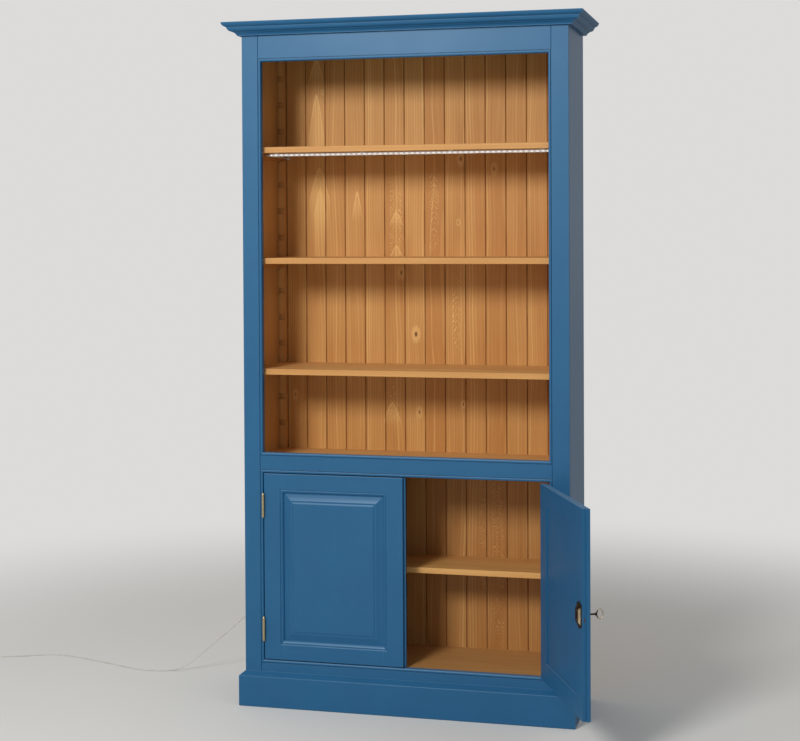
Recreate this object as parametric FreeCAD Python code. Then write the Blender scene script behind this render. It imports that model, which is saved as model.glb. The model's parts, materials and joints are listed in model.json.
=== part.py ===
import FreeCAD, Part
import math
import os

# A solid-timber bookcase with a cupboard below: painted outside, waxed inside.
# Millimetres. X runs to the right seen from the front, Y to the back, Z up.
# The origin is on the floor, in the middle of the carcass footprint.
# Depths are counted from the front plane of the face frame.

# Carcass
WIDTH = 1008.0
DEPTH = 304.0
HEIGHT = 2100.0
SIDE_T = 20.0
FIXED_BOARD_T = 20.0
BOARD_HOUSING = 6.0
MIDDLE_TOP = 759.0
BOTTOM_TOP = 141.0
BASE_RAIL_T = 20.0
BEARER_T = 20.0

# Back of tongue-and-groove boards
BACK_T = 8.0
BACK_INSET = 2.0
BACK_REBATE = 10.0
BACK_BOARD_PITCH = 65.6
BACK_BOARD_FOOT = 20.0
TONGUE_L = 4.0
TONGUE_T = 2.6
TONGUE_CLEAR = 0.15
V_JOINT = 2.0

# Face frame: stiles, rails and the bead round each opening
FRAME_T = 20.0
STILE_W = 50.0
BEAD_W = 10.0
BEAD_QUIRK_W = 1.8
BEAD_QUIRK_D = 3.0
BEAD_OUTER_R = 2.4
BEAD_INNER_R = 4.0
JOINT_V = 2.2
FRIEZE_H = 109.0
MIDDLE_RAIL_H = 41.5
MIDDLE_LIP = 23.0
BOTTOM_LIP = 1.5

# Cornice and plinth, each a front run with mitred returns
CORNICE_OUT = 50.0
CORNICE_H = 39.0
PLINTH_OUT = 17.0
PLINTH_FLAT_H = 92.0
PLINTH_MOULD_H = 15.0
PLINTH_FOOT_R = 3.0

# Notched racks, the bars that sit in them, and the shelves
RACK_W = 24.0
RACK_D = 24.0
RACK_PITCH = 85.4
NOTCH_H = 18.0
NOTCH_D = 8.0
UPPER_FIRST_LEDGE = 75.0
LOWER_FIRST_LEDGE = 86.2
BAR_H = 15.0
BAR_W = 23.0
BAR_END_CLEAR = 0.3
SHELF_T = 18.0
SHELF_CLEAR = 0.5
SHELF_BACK_GAP = 1.0
SHELF_ARRIS = 1.5
UPPER_SHELF_LEDGES = (10, 6, 2)
LOWER_SHELF_LEDGE = 2
UPPER_SHELF_SETBACK = 6.0
LOWER_SHELF_SETBACK = 75.0
RACK_HEAD_ROOM = 40.0

# Doors
DOOR_T = 21.0
DOOR_SIDE_GAP = 2.5
DOOR_TOP_GAP = 2.5
DOOR_FOOT_GAP = 3.0
MEETING_GAP = 3.2
LAP = 6.0
LAP_CLEAR = 0.6
DOOR_ARRIS = 1.2
DOOR_STILE_FLAT = 49.8
TOP_RAIL_FLAT = 47.0
BOTTOM_RAIL_FLAT = 45.2
STICKING_W = 12.4
STICKING_D = 7.2
STICKING_STEP = 0.3
QUIRK_SHOULDER = 2.4
QUIRK_D = 2.9
QUIRK_OUTER = 3.4
QUIRK_INNER = 4.6
OVOLO_TOP_D = 1.7
GROOVE_D = 8.0
GROOVE_FRONT = 8.8
GROOVE_W = 8.6
PANEL_CLEAR = 0.2
PANEL_EDGE_CLEAR = 1.0
FIELD_FRONT = 1.6
FIELD_STEP = 0.3
PANEL_MARGIN = 3.5
BEVEL_W = 18.5
BEVEL_SAG = 0.5
LAND_D = 3.8
LAND_W = 5.2
PANEL_OVOLO_W = 5.3
RIGHT_DOOR_OPEN = 114.4

# Lift-off hinges
HINGE_FROM_FOOT = 93.5
HINGE_FROM_TOP = 98.0
HINGE_R = 4.5
HINGE_STANDOFF = 0.3
HINGE_BARREL_L = 62.0
HINGE_FINIAL_L = 8.0
HINGE_SPLIT = 0.3
LEAF_T = 1.1
LEAF_IN = 16.0
PIN_R = 2.0
PIN_SEAT_CLEAR = 0.02
PIN_RUN_CLEAR = 0.05
PIN_END_CLEAR = 0.5
PIN_L = 53.0

# Lock on the right door, its key and the strike in the left door
LOCK_FROM_EDGE = 34.5
LOCK_FROM_FOOT = 281.5
LOCK_PLATE_W = 44.0
LOCK_PLATE_SIDE_H = 58.0
LOCK_PLATE_TIP_H = 75.0
LOCK_PLATE_T = 1.5
LOCK_BOSS_H = 7.0
LOCK_BOSS_FOOT = 0.84
LOCK_BOSS_TOP = 0.56
CASE_W = 34.0
CASE_H = 46.0
CASE_D = 11.5
CASE_WALL = 1.2
BOLT_T = 3.0
BOLT_FROM_CASE = 3.0
BOLT_H = 12.0
BOLT_LEN = 38.0
BOLT_BELOW_KEY = 3.0
BOLT_RUN_CLEAR = 0.2
BOLT_REACH = 9.0
TALON_D = 7.6
TALON_LEAD = 2.2
TALON_LAG = 5.2
STRIKE_T = 1.2
STRIKE_H = 30.0
STRIKE_CLEAR = 0.3
KEY_SHANK_R = 2.5
KEY_BIT_L = 9.5
KEY_BIT_T = 2.4
KEY_BIT_D = 2.6
KEY_HOLE_CLEAR = 0.3
KEY_OUT = 27.0
COLLAR_R = 4.0
COLLAR_L = 4.0
BOW_TALL = 29.0
BOW_WIDE = 22.0
BOW_WIRE_R = 1.7
BOW_END_ROUND = 0.8
ESCUTCHEON_W = 15.0
ESCUTCHEON_H = 30.0
ESCUTCHEON_T = 1.2

# Stop block and slip bolt that hold the left door
STOP_W = 40.0
STOP_H = 34.0
STOP_T = 18.0
STOP_GAP = 0.3
STOP_FROM_EDGE = 42.0
SLIP_FROM_EDGE = 22.4
SLIP_PLATE_W = 24.0
SLIP_PLATE_H = 60.0
SLIP_PLATE_T = 1.5
SLIP_PLATE_UP = 6.5
SLIP_ROD_R = 3.0
SLIP_RUN_CLEAR = 0.06
SLIP_ROD_L = 58.0
SLIP_REACH = 12.0
SLIP_TIP_UP = 1.0
SLIP_GUIDE_H = 8.0
SLIP_GUIDE_W = 13.0
SLIP_KNOB_R = 3.0
SLIP_KNOB_L = 12.0
SLIP_BORE_CLEAR = 0.7
KEEP_W = 18.0
KEEP_D = 12.0
KEEP_T = 1.2

# Shelf light, its lead and the lead's clips
LIGHT_INSET = 22.0
LIGHT_SETBACK = 34.0
CHANNEL_D = 10.0
CHANNEL_H = 8.0
CHANNEL_WALL = 1.0
LIGHT_CLIP_T = 1.7
LIGHT_CLIP_W = 14.0
LIGHT_CLIPS = 4
STRIP_D = 2.0
DIODE_PITCH = 16.7
DIODE_W = 5.0
DIODE_H = 3.0
DIODE_D = 1.5
LEAD_R = 2.0
LEAD_CLEAR = 0.1
LEAD_FROM_SIDE = 30.0
LEAD_BEND = 8.0
GROMMET_R = 4.0
GROMMET_FLANGE_R = 5.4
GROMMET_FLANGE_T = 1.2
BACK_CLIP_W = 12.0
BACK_CLIP_H = 8.0
BACK_CLIPS = 4
FIRST_BACK_CLIP_DROP = 97.0
LAST_BACK_CLIP_TOP = 428.0

# Free mains lead: route points from the last clip to its coil, in the model's frame
LEAD_ROUTE = (
    (-454.0, 158.0, 420.0), (-454.0, 158.0, 391.0), (-465.0, 158.2, 361.0), (-487.0, 158.0, 332.0),
    (-516.0, 157.0, 301.0), (-551.0, 156.5, 262.0), (-590.0, 156.0, 222.0), (-632.0, 156.5, 183.0),
    (-676.0, 157.0, 145.0), (-722.0, 158.5, 105.0), (-768.0, 161.5, 66.0), (-809.0, 163.5, 32.0),
    (-846.0, 158.0, 8.0), (-886.0, 146.0, 2.2), (-932.0, 137.0, 2.0), (-981.0, 136.0, 2.1),
    (-1034.0, 153.0, 2.0), (-1091.0, 178.0, 2.2), (-1148.0, 198.0, 2.0), (-1205.0, 219.0, 2.1),
    (-1262.0, 237.0, 2.0), (-1310.0, 249.0, 2.2), (-1352.0, 249.0, 2.0), (-1393.0, 232.0, 2.1),
    (-1437.0, 208.0, 2.0), (-1484.0, 189.0, 2.2), (-1531.0, 176.0, 2.0), (-1579.0, 173.0, 2.1),
)
COIL_CENTRE = (-1579.0, 151.0)
COIL_MEAN_R = 22.0
COIL_WIDE = 2
COIL_HIGH = 3
COIL_EASE = 0.6
PLUG_W = 35.0
PLUG_T = 13.7
PLUG_L = 36.0
PLUG_RELIEF_L = 22.0
PLUG_NOSE_R = 2.4
PLUG_NECK_R = 4.2
PLUG_PIN_R = 2.0
PLUG_PIN_L = 19.0
PLUG_PIN_SPACING = 19.0
PLUG_RELIEF_GAP = 0.2

# Places that follow from the sizes above
HALF_W = WIDTH / 2
FRONT = -DEPTH / 2
INNER_X = HALF_W - SIDE_T
BACK_FACE = DEPTH - BACK_INSET - BACK_T
TOP_UNDERSIDE = HEIGHT - FIXED_BOARD_T
MIDDLE_UNDERSIDE = MIDDLE_TOP - FIXED_BOARD_T
BOTTOM_UNDERSIDE = BOTTOM_TOP - FIXED_BOARD_T
UPPER_OPEN_BOTTOM = MIDDLE_TOP + MIDDLE_LIP
UPPER_OPEN_TOP = HEIGHT - FRIEZE_H - BEAD_W
DOOR_OPEN_BOTTOM = BOTTOM_TOP + BOTTOM_LIP
DOOR_OPEN_TOP = UPPER_OPEN_BOTTOM - 2 * BEAD_W - MIDDLE_RAIL_H
OPEN_X = HALF_W - STILE_W - BEAD_W
DOOR_HINGE_X = -OPEN_X + DOOR_SIDE_GAP
DOOR_MEET_X = -MEETING_GAP / 2
DOOR_FOOT = DOOR_OPEN_BOTTOM + DOOR_FOOT_GAP
DOOR_TOP = DOOR_OPEN_TOP - DOOR_TOP_GAP
DOOR_STILE_W = DOOR_STILE_FLAT + STICKING_W
PANEL_X0 = DOOR_HINGE_X + DOOR_STILE_W
PANEL_X1 = DOOR_MEET_X - DOOR_STILE_W
PANEL_Z0 = DOOR_FOOT + BOTTOM_RAIL_FLAT + STICKING_W
PANEL_Z1 = DOOR_TOP - TOP_RAIL_FLAT - STICKING_W
PIVOT_X = DOOR_HINGE_X - DOOR_SIDE_GAP / 2
PIVOT_DEPTH = -HINGE_R - HINGE_STANDOFF
HINGE_CENTRES = (DOOR_FOOT + HINGE_FROM_FOOT, DOOR_TOP - HINGE_FROM_TOP)
LOCK_X = DOOR_MEET_X - LOCK_FROM_EDGE
LOCK_Z = DOOR_FOOT + LOCK_FROM_FOOT
BOLT_FRONT = DOOR_T - CASE_D + CASE_WALL + BOLT_FROM_CASE
SHELF_1_UNDERSIDE = MIDDLE_TOP + UPPER_FIRST_LEDGE + UPPER_SHELF_LEDGES[0] * RACK_PITCH + BAR_H
LIGHT_DEPTH = FRAME_T + UPPER_SHELF_SETBACK + LIGHT_SETBACK
LIGHT_TOP = SHELF_1_UNDERSIDE - LIGHT_CLIP_T
LIGHT_HALF_L = INNER_X - RACK_W - LIGHT_INSET
LEAD_X = -INNER_X + LEAD_FROM_SIDE
LEAD_Z = LIGHT_TOP - CHANNEL_H / 2
LEAD_BACK = DEPTH - BACK_INSET + LEAD_BEND
ALONG_X = FreeCAD.Vector(1, 0, 0)
ALONG_Y = FreeCAD.Vector(0, 1, 0)
ALONG_Z = FreeCAD.Vector(0, 0, 1)
# How far cutters run past what they cut: well clear of a face, or just through it
REACH = 5.0
CUT_MARGIN = 0.01
# Degrees that carry the seam of the bow's wire to its flank, clear of the collar
SEAM_TURN = 90.0


def at(x, depth, z):
    """The point at a depth behind the front plane of the face frame."""
    return FreeCAD.Vector(x, FRONT + depth, z)


def block(x0, x1, depth0, depth1, z0, z1):
    return Part.makeBox(x1 - x0, depth1 - depth0, z1 - z0, at(x0, depth0, z0))


def rod(radius, start, direction, length):
    return Part.makeCylinder(radius, length, start, direction)


def mirrored(shape):
    return shape.mirror(FreeCAD.Vector(0, 0, 0), ALONG_X)


def arc_to(centre, start, end):
    """A step of an outline: the arc about a centre from start to end, given by its middle and end."""
    radius = math.hypot(start[0] - centre[0], start[1] - centre[1])
    lean = ((start[0] + end[0]) / 2 - centre[0], (start[1] + end[1]) / 2 - centre[1])
    size = math.hypot(*lean)
    middle = (centre[0] + lean[0] / size * radius, centre[1] + lean[1] / size * radius)
    return (middle, end)


def tangent_centre(level, other):
    """The centre of the arc through two points that lies flat at the first of them."""
    across, down = other[0] - level[0], other[1] - level[1]
    return (level[0], level[1] + (across ** 2 + down ** 2) / (2 * down))


def outline_face(outline, place):
    """A face from an outline of points and arc steps, where place turns (a, b) into a point in space."""
    here = outline[0]
    edges = []
    for step in outline[1:] + [outline[0]]:
        if isinstance(step[0], tuple):
            middle, end = step
            edges.append(Part.Arc(place(*here), place(*middle), place(*end)).toShape())
        else:
            end = step
            edges.append(Part.LineSegment(place(*here), place(*end)).toShape())
        here = end
    return Part.Face(Part.Wire(edges))


def outline_reach(outline, index):
    points = [step[1] if isinstance(step[0], tuple) else step for step in outline]
    values = [point[index] for point in points]
    return min(values) - REACH, max(values) + REACH


def moulded_run(outline, origin, along, out, up, length, lean_start, lean_end):
    """A profile of (a out, b up) run along a line, whose ends lean by lean x a for a mitre."""
    a_low, a_high = outline_reach(outline, 0)
    b_low, b_high = outline_reach(outline, 1)
    margin = abs(a_low) + abs(a_high)

    def place(a, b):
        return origin + out * a + up * b - along * margin

    body = outline_face(outline, place).extrude(along * (length + 2 * margin))
    corners = [
        (lean_start * a_low, a_low), (length + lean_end * a_low, a_low),
        (length + lean_end * a_high, a_high), (lean_start * a_high, a_high),
    ]
    keep = outline_face(corners, lambda s, a: origin + along * s + out * a + up * b_low)
    return body.common(keep.extrude(up * (b_high - b_low))).Solids[0]


def rectangle_runs(x0, x1, z0, z1):
    """The four sides of an upright rectangle, each with its start, direction, way in and length."""
    return (
        (at(x0, 0, z0), ALONG_X, ALONG_Z, x1 - x0),
        (at(x1, 0, z0), ALONG_Z, -ALONG_X, z1 - z0),
        (at(x1, 0, z1), -ALONG_X, -ALONG_Z, x1 - x0),
        (at(x0, 0, z1), -ALONG_Z, ALONG_X, z1 - z0),
    )


def mitred_frame(outline, x0, x1, z0, z1):
    """Four mitred runs round the inside of a rectangle, of a profile (a inwards, b to the back)."""
    return [
        moulded_run(outline, origin, along, inwards, ALONG_Y, length, 1, -1)
        for origin, along, inwards, length in rectangle_runs(x0, x1, z0, z1)
    ]


def cut_all(shape, cutters):
    for cutter in cutters:
        shape = shape.cut(cutter)
    return shape


def fuse_all(shapes):
    """One solid made of several that touch; pieces that stay apart are an error."""
    whole = shapes[0]
    for shape in shapes[1:]:
        whole = whole.fuse(shape)
    solids = whole.removeSplitter().Solids
    if len(solids) != 1:
        raise ValueError(f"{len(solids)} solids where one was due")
    return solids[0]


def carcass():
    """Sides with housings for the fixed boards, the three boards, and what carries the lowest."""
    side = block(-HALF_W, -INNER_X, FRAME_T, DEPTH, 0, TOP_UNDERSIDE)
    rebate = block(-HALF_W + SIDE_T - BACK_REBATE, -INNER_X, BACK_FACE, DEPTH, BACK_BOARD_FOOT, TOP_UNDERSIDE)
    housings = [
        block(-INNER_X - BOARD_HOUSING, -INNER_X, FRAME_T, BACK_FACE, top - FIXED_BOARD_T, top)
        for top in (MIDDLE_TOP, BOTTOM_TOP)
    ]
    side = cut_all(side, [rebate] + housings)
    rebate_x = INNER_X + BACK_REBATE
    top = block(-HALF_W, HALF_W, FRAME_T, DEPTH, TOP_UNDERSIDE, HEIGHT)
    top = top.cut(block(-rebate_x, rebate_x, BACK_FACE, DEPTH, TOP_UNDERSIDE, TOP_UNDERSIDE + BACK_REBATE))
    board_x = INNER_X + BOARD_HOUSING
    middle = block(-board_x, board_x, FRAME_T, BACK_FACE, MIDDLE_UNDERSIDE, MIDDLE_TOP)
    bottom = block(-board_x, board_x, FRAME_T, BACK_FACE, BOTTOM_UNDERSIDE, BOTTOM_TOP)
    keep_x = DOOR_MEET_X - SLIP_FROM_EDGE
    keep_depth = slip_rod_depth()
    bottom = bottom.cut(keep_plate(keep_x, keep_depth))
    bottom = bottom.cut(keep_bore(keep_x, keep_depth))
    base_rail = block(-INNER_X, INNER_X, BACK_FACE - BASE_RAIL_T, BACK_FACE, 0, BOTTOM_UNDERSIDE)
    bearer = block(-BEARER_T / 2, BEARER_T / 2, FRAME_T, BACK_FACE - BASE_RAIL_T, 0, BOTTOM_UNDERSIDE)
    return {
        "side_panel_left": [side],
        "side_panel_right": [mirrored(side)],
        "top_board": [top],
        "middle_board": [middle],
        "bottom_board": [bottom],
        "rear_base_rail": [base_rail],
        "centre_bearer": [bearer],
    }


def back_board(x0, x1, tongue_left, groove_right):
    """One board in plan: V-jointed on its inner face, tongue on the left edge, groove in the right."""
    mid = BACK_FACE + BACK_T / 2
    rear = BACK_FACE + BACK_T
    tongue = TONGUE_T / 2
    slot = TONGUE_T / 2 + TONGUE_CLEAR
    outline = [(x0 + V_JOINT, BACK_FACE), (x1 - V_JOINT, BACK_FACE), (x1, BACK_FACE + V_JOINT)]
    if groove_right:
        deep = x1 - TONGUE_L - TONGUE_CLEAR
        outline += [(x1, mid - slot), (deep, mid - slot), (deep, mid + slot), (x1, mid + slot)]
    outline += [(x1, rear), (x0, rear)]
    if tongue_left:
        out = x0 - TONGUE_L
        outline += [(x0, mid + tongue), (out, mid + tongue), (out, mid - tongue), (x0, mid - tongue)]
    outline += [(x0, BACK_FACE + V_JOINT)]
    face = outline_face(outline, lambda x, depth: at(x, depth, BACK_BOARD_FOOT))
    return face.extrude(ALONG_Z * (TOP_UNDERSIDE + BACK_REBATE - BACK_BOARD_FOOT))


def back():
    """Full boards out from a joint on the centre line, and a narrow board into each side's rebate."""
    edge = INNER_X + BACK_REBATE - TONGUE_CLEAR
    per_side = int(edge // BACK_BOARD_PITCH)
    joints = [BACK_BOARD_PITCH * i for i in range(-per_side, per_side + 1)]
    ends = [-edge] + joints + [edge]
    boards = [
        back_board(x0, x1, i > 0, i < len(ends) - 2)
        for i, (x0, x1) in enumerate(zip(ends, ends[1:]))
    ]
    hole = rod(GROMMET_R, at(LEAD_X, BACK_FACE, LEAD_Z), ALONG_Y, BACK_T)
    return {"back_boards": [board.cut(hole).Solids[0] for board in boards]}


def bead_outline():
    """Section of the bead: a quirk against the frame, a rounded nose, a rounder inner corner."""
    nose = BEAD_QUIRK_W + BEAD_OUTER_R
    flat = BEAD_W - BEAD_INNER_R
    return [
        (0, BEAD_QUIRK_D), (BEAD_QUIRK_W, BEAD_QUIRK_D), (BEAD_QUIRK_W, BEAD_OUTER_R),
        arc_to((nose, BEAD_OUTER_R), (BEAD_QUIRK_W, BEAD_OUTER_R), (nose, 0)), (flat, 0),
        arc_to((flat, BEAD_INNER_R), (flat, 0), (BEAD_W, BEAD_INNER_R)),
        (BEAD_W, FRAME_T), (0, FRAME_T),
    ]


def frame_rail(z0, z1):
    """A rail between the stiles, its two front end arrises cut back for a V at the joint."""
    x = HALF_W - STILE_W
    outline = [
        (-x, JOINT_V), (-x + JOINT_V, 0), (x - JOINT_V, 0), (x, JOINT_V), (x, FRAME_T), (-x, FRAME_T),
    ]
    return outline_face(outline, lambda a, depth: at(a, depth, z0)).extrude(ALONG_Z * (z1 - z0))


def face_frame():
    stile = block(-HALF_W, -HALF_W + STILE_W, 0, FRAME_T, 0, HEIGHT)
    bead_x = HALF_W - STILE_W
    openings = {
        "upper_bead": (UPPER_OPEN_BOTTOM - BEAD_W, UPPER_OPEN_TOP + BEAD_W),
        "lower_bead": (DOOR_OPEN_BOTTOM - BEAD_W, DOOR_OPEN_TOP + BEAD_W),
    }
    pieces = {
        "stile_left": [stile],
        "stile_right": [mirrored(stile)],
        "frieze_rail": [frame_rail(openings["upper_bead"][1], HEIGHT)],
        "middle_rail": [frame_rail(openings["lower_bead"][1], openings["upper_bead"][0])],
        "bottom_rail": [frame_rail(0, openings["lower_bead"][0])],
    }
    for name, (z0, z1) in openings.items():
        pieces[name] = mitred_frame(bead_outline(), -bead_x, bead_x, z0, z1)
    return pieces


def cornice_outline():
    """Round arris, nose, fillet, ovolo, fillet and cove, as shares of the overhang and the height."""
    def at_share(out, up):
        return (CORNICE_OUT * out, CORNICE_H * up)
    return [
        (0, CORNICE_H), at_share(0.956, 1), (at_share(0.987, 0.983), at_share(1, 0.944)),
        (at_share(0.946, 0.785), at_share(0.812, 0.656)), at_share(0.752, 0.641), at_share(0.744, 0.559),
        at_share(0.708, 0.549), (at_share(0.638, 0.382), at_share(0.488, 0.308)),
        at_share(0.436, 0.297), at_share(0.43, 0.262),
        (at_share(0.306, 0.165), at_share(0.228, 0.03)), at_share(0.228, 0), (0, 0),
    ]


def plinth_outline():
    """A flat board with a rounded foot and a sloped top, the arris between them rounded."""
    top = PLINTH_FLAT_H + PLINTH_MOULD_H
    foot = PLINTH_OUT - PLINTH_FOOT_R

    def at_share(out, up):
        return (PLINTH_OUT * out, PLINTH_FLAT_H + PLINTH_MOULD_H * up)
    return [
        (0, 0), (foot, 0), arc_to((foot, PLINTH_FOOT_R), (foot, 0), (PLINTH_OUT, PLINTH_FOOT_R)),
        at_share(1, 0), (at_share(0.977, 0.115), at_share(0.913, 0.207)), at_share(0.06, 0.96), (0, top),
    ]


def wrapped_moulding(outline, z):
    """A moulding across the front with a mitred return along each side."""
    front = moulded_run(outline, at(-HALF_W, 0, z), ALONG_X, -ALONG_Y, ALONG_Z, WIDTH, -1, 1)
    left = moulded_run(outline, at(-HALF_W, 0, z), ALONG_Y, -ALONG_X, ALONG_Z, DEPTH, -1, 0)
    return [front], [left, mirrored(left)]


def mouldings():
    cornice_front, cornice_returns = wrapped_moulding(cornice_outline(), HEIGHT - CORNICE_H)
    plinth_front, plinth_returns = wrapped_moulding(plinth_outline(), 0)
    return {
        "cornice_front": cornice_front,
        "cornice_returns": cornice_returns,
        "plinth_front": plinth_front,
        "plinth_returns": plinth_returns,
    }


def rack(foot, head, first_ledge):
    """A rear left rack: a batten notched on its front, one ledge at every pitch."""
    depth1 = BACK_FACE
    depth0 = depth1 - RACK_D
    batten = block(-INNER_X, -INNER_X + RACK_W, depth0, depth1, foot, head)
    count = int((head - RACK_HEAD_ROOM - NOTCH_H - foot - first_ledge) // RACK_PITCH) + 1
    for i in range(count):
        ledge = foot + first_ledge + i * RACK_PITCH
        batten = batten.cut(
            block(-INNER_X, -INNER_X + RACK_W, depth0, depth0 + NOTCH_D, ledge, ledge + NOTCH_H)
        )
    return batten


def front_rack(rear_rack):
    """The same batten turned to face the back, just behind the face frame."""
    middle = FRONT + (FRAME_T + BACK_FACE) / 2
    return rear_rack.mirror(FreeCAD.Vector(0, middle, 0), ALONG_Y)


def shelf_bar(ledge):
    depth0 = FRAME_T + RACK_D - NOTCH_D + BAR_END_CLEAR
    depth1 = BACK_FACE - RACK_D + NOTCH_D - BAR_END_CLEAR
    return block(-INNER_X, -INNER_X + BAR_W, depth0, depth1, ledge, ledge + BAR_H)


def shelf(underside, setback):
    """A loose shelf with notched corners and eased front arrises."""
    x = INNER_X - SHELF_CLEAR
    depth0 = FRAME_T + setback
    depth1 = BACK_FACE - SHELF_BACK_GAP
    board = block(-x, x, depth0, depth1, underside, underside + SHELF_T)
    front_edges = [
        edge for edge in board.Edges
        if edge.Length > x and abs(edge.CenterOfMass.y - FRONT - depth0) < SHELF_ARRIS
    ]
    board = board.makeFillet(SHELF_ARRIS, front_edges)
    notch_x = INNER_X - RACK_W - SHELF_CLEAR
    front_notch = FRAME_T + RACK_D + SHELF_CLEAR
    rear_notch = BACK_FACE - RACK_D - SHELF_CLEAR
    for side in (-1, 1):
        x0, x1 = sorted((side * notch_x, side * HALF_W))
        board = board.cut(block(x0, x1, rear_notch, DEPTH, underside - REACH, underside + SHELF_T + REACH))
        board = board.cut(block(x0, x1, 0, front_notch, underside - REACH, underside + SHELF_T + REACH))
    return board.Solids[0]


def shelving():
    upper_rack = rack(MIDDLE_TOP, TOP_UNDERSIDE, UPPER_FIRST_LEDGE)
    lower_rack = rack(BOTTOM_TOP, MIDDLE_UNDERSIDE, LOWER_FIRST_LEDGE)
    racks = []
    for left_rear in (upper_rack, lower_rack):
        left_front = front_rack(left_rear)
        racks += [left_rear, left_front, mirrored(left_rear), mirrored(left_front)]
    upper_ledges = [MIDDLE_TOP + UPPER_FIRST_LEDGE + i * RACK_PITCH for i in UPPER_SHELF_LEDGES]
    lower_ledge = BOTTOM_TOP + LOWER_FIRST_LEDGE + LOWER_SHELF_LEDGE * RACK_PITCH
    bars = []
    for ledge in upper_ledges + [lower_ledge]:
        bars += [shelf_bar(ledge), mirrored(shelf_bar(ledge))]
    pieces = {"upper_racks": racks[:4], "lower_racks": racks[4:], "shelf_bars": bars}
    for number, ledge in enumerate(upper_ledges, start=1):
        pieces[f"upper_shelf_{number}"] = [shelf(ledge + BAR_H, UPPER_SHELF_SETBACK)]
    pieces["lower_shelf"] = [shelf(lower_ledge + BAR_H, LOWER_SHELF_SETBACK)]
    return pieces


def sticking_cutters():
    """What the moulded inner edge of the door frame loses: a rounded shoulder, a quirk, then an ovolo."""
    inner = STICKING_W + CUT_MARGIN
    shoulder = (0, STICKING_STEP)
    shoulder_end = (QUIRK_SHOULDER, STICKING_STEP + QUIRK_SHOULDER)
    ovolo = (QUIRK_INNER, OVOLO_TOP_D)
    ovolo_end = (inner, STICKING_D)
    outline = [
        (0, -REACH), shoulder, arc_to((0, shoulder_end[1]), shoulder, shoulder_end),
        (QUIRK_OUTER, QUIRK_D), ovolo, arc_to(tangent_centre(ovolo, ovolo_end), ovolo, ovolo_end),
        (inner, -REACH),
    ]
    return mitred_frame(
        outline, PANEL_X0 - STICKING_W, PANEL_X1 + STICKING_W, PANEL_Z0 - STICKING_W, PANEL_Z1 + STICKING_W,
    )


def arris_cutters():
    outline = [(-REACH, -REACH), (-REACH, DOOR_ARRIS), (0, DOOR_ARRIS), (DOOR_ARRIS, 0), (DOOR_ARRIS, -REACH)]
    return mitred_frame(outline, DOOR_HINGE_X, DOOR_MEET_X, DOOR_FOOT, DOOR_TOP)


def raised_panel():
    """A panel whose field falls by an ovolo, a land and a hollow bevel to a tongue in the frame's groove."""
    into = GROOVE_D - PANEL_EDGE_CLEAR
    tongue_front = GROOVE_FRONT + PANEL_CLEAR
    tongue_back = GROOVE_FRONT + GROOVE_W - PANEL_CLEAR
    x0, x1 = PANEL_X0 - into, PANEL_X1 + into
    z0, z1 = PANEL_Z0 - into, PANEL_Z1 + into
    board = block(x0, x1, FIELD_FRONT, tongue_back, z0, z1)
    bevel = (into + PANEL_MARGIN, tongue_front)
    land = (bevel[0] + BEVEL_W, LAND_D)
    sag = ((bevel[0] + land[0]) / 2, (bevel[1] + land[1]) / 2 + BEVEL_SAG)
    ovolo = (land[0] + LAND_W, LAND_D)
    field = (ovolo[0] + PANEL_OVOLO_W, FIELD_FRONT + FIELD_STEP)
    outline = [
        (-REACH, -REACH), (-REACH, tongue_front), bevel, (sag, land), ovolo,
        arc_to(tangent_centre(field, ovolo), ovolo, field), (field[0], -REACH),
    ]
    return cut_all(board, mitred_frame(outline, x0, x1, z0, z1))


def door(lap):
    """A closed left-hand door; lap is how far the back half of its meeting stile passes the face."""
    half = DOOR_T / 2 + (LAP_CLEAR / 2 if lap > 0 else -LAP_CLEAR / 2)
    groove_back = GROOVE_FRONT + GROOVE_W
    grooves = [
        block(PANEL_X0 - GROOVE_D, PANEL_X1 + GROOVE_D, GROOVE_FRONT, groove_back, DOOR_FOOT, DOOR_TOP),
    ]
    cutters = sticking_cutters() + arris_cutters()
    hinge_stile = block(DOOR_HINGE_X, PANEL_X0, 0, DOOR_T, DOOR_FOOT, DOOR_TOP)
    face = block(PANEL_X1, DOOR_MEET_X, 0, half, DOOR_FOOT, DOOR_TOP)
    behind = block(PANEL_X1, DOOR_MEET_X + lap, half, DOOR_T, DOOR_FOOT, DOOR_TOP)
    pieces = {
        "hinge_stile": cut_all(hinge_stile, grooves + cutters),
        "meeting_stile": cut_all(fuse_all([face, behind]), grooves + cutters),
        "panel": raised_panel(),
    }
    for name, z0, z1 in (("top_rail", PANEL_Z1, DOOR_TOP), ("bottom_rail", DOOR_FOOT, PANEL_Z0)):
        rail = block(PANEL_X0, PANEL_X1, 0, DOOR_T, z0, z1)
        inner = z0 if name == "top_rail" else z1
        groove = block(PANEL_X0, PANEL_X1, GROOVE_FRONT, groove_back, inner - GROOVE_D, inner + GROOVE_D)
        tenon_z = (z0 + GROOVE_D, z1) if name == "top_rail" else (z0, z1 - GROOVE_D)
        tenon = block(PANEL_X0 - GROOVE_D, PANEL_X1 + GROOVE_D, GROOVE_FRONT, groove_back, *tenon_z)
        pieces[name] = fuse_all([cut_all(rail, [groove] + cutters), tenon])
    return pieces


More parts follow.
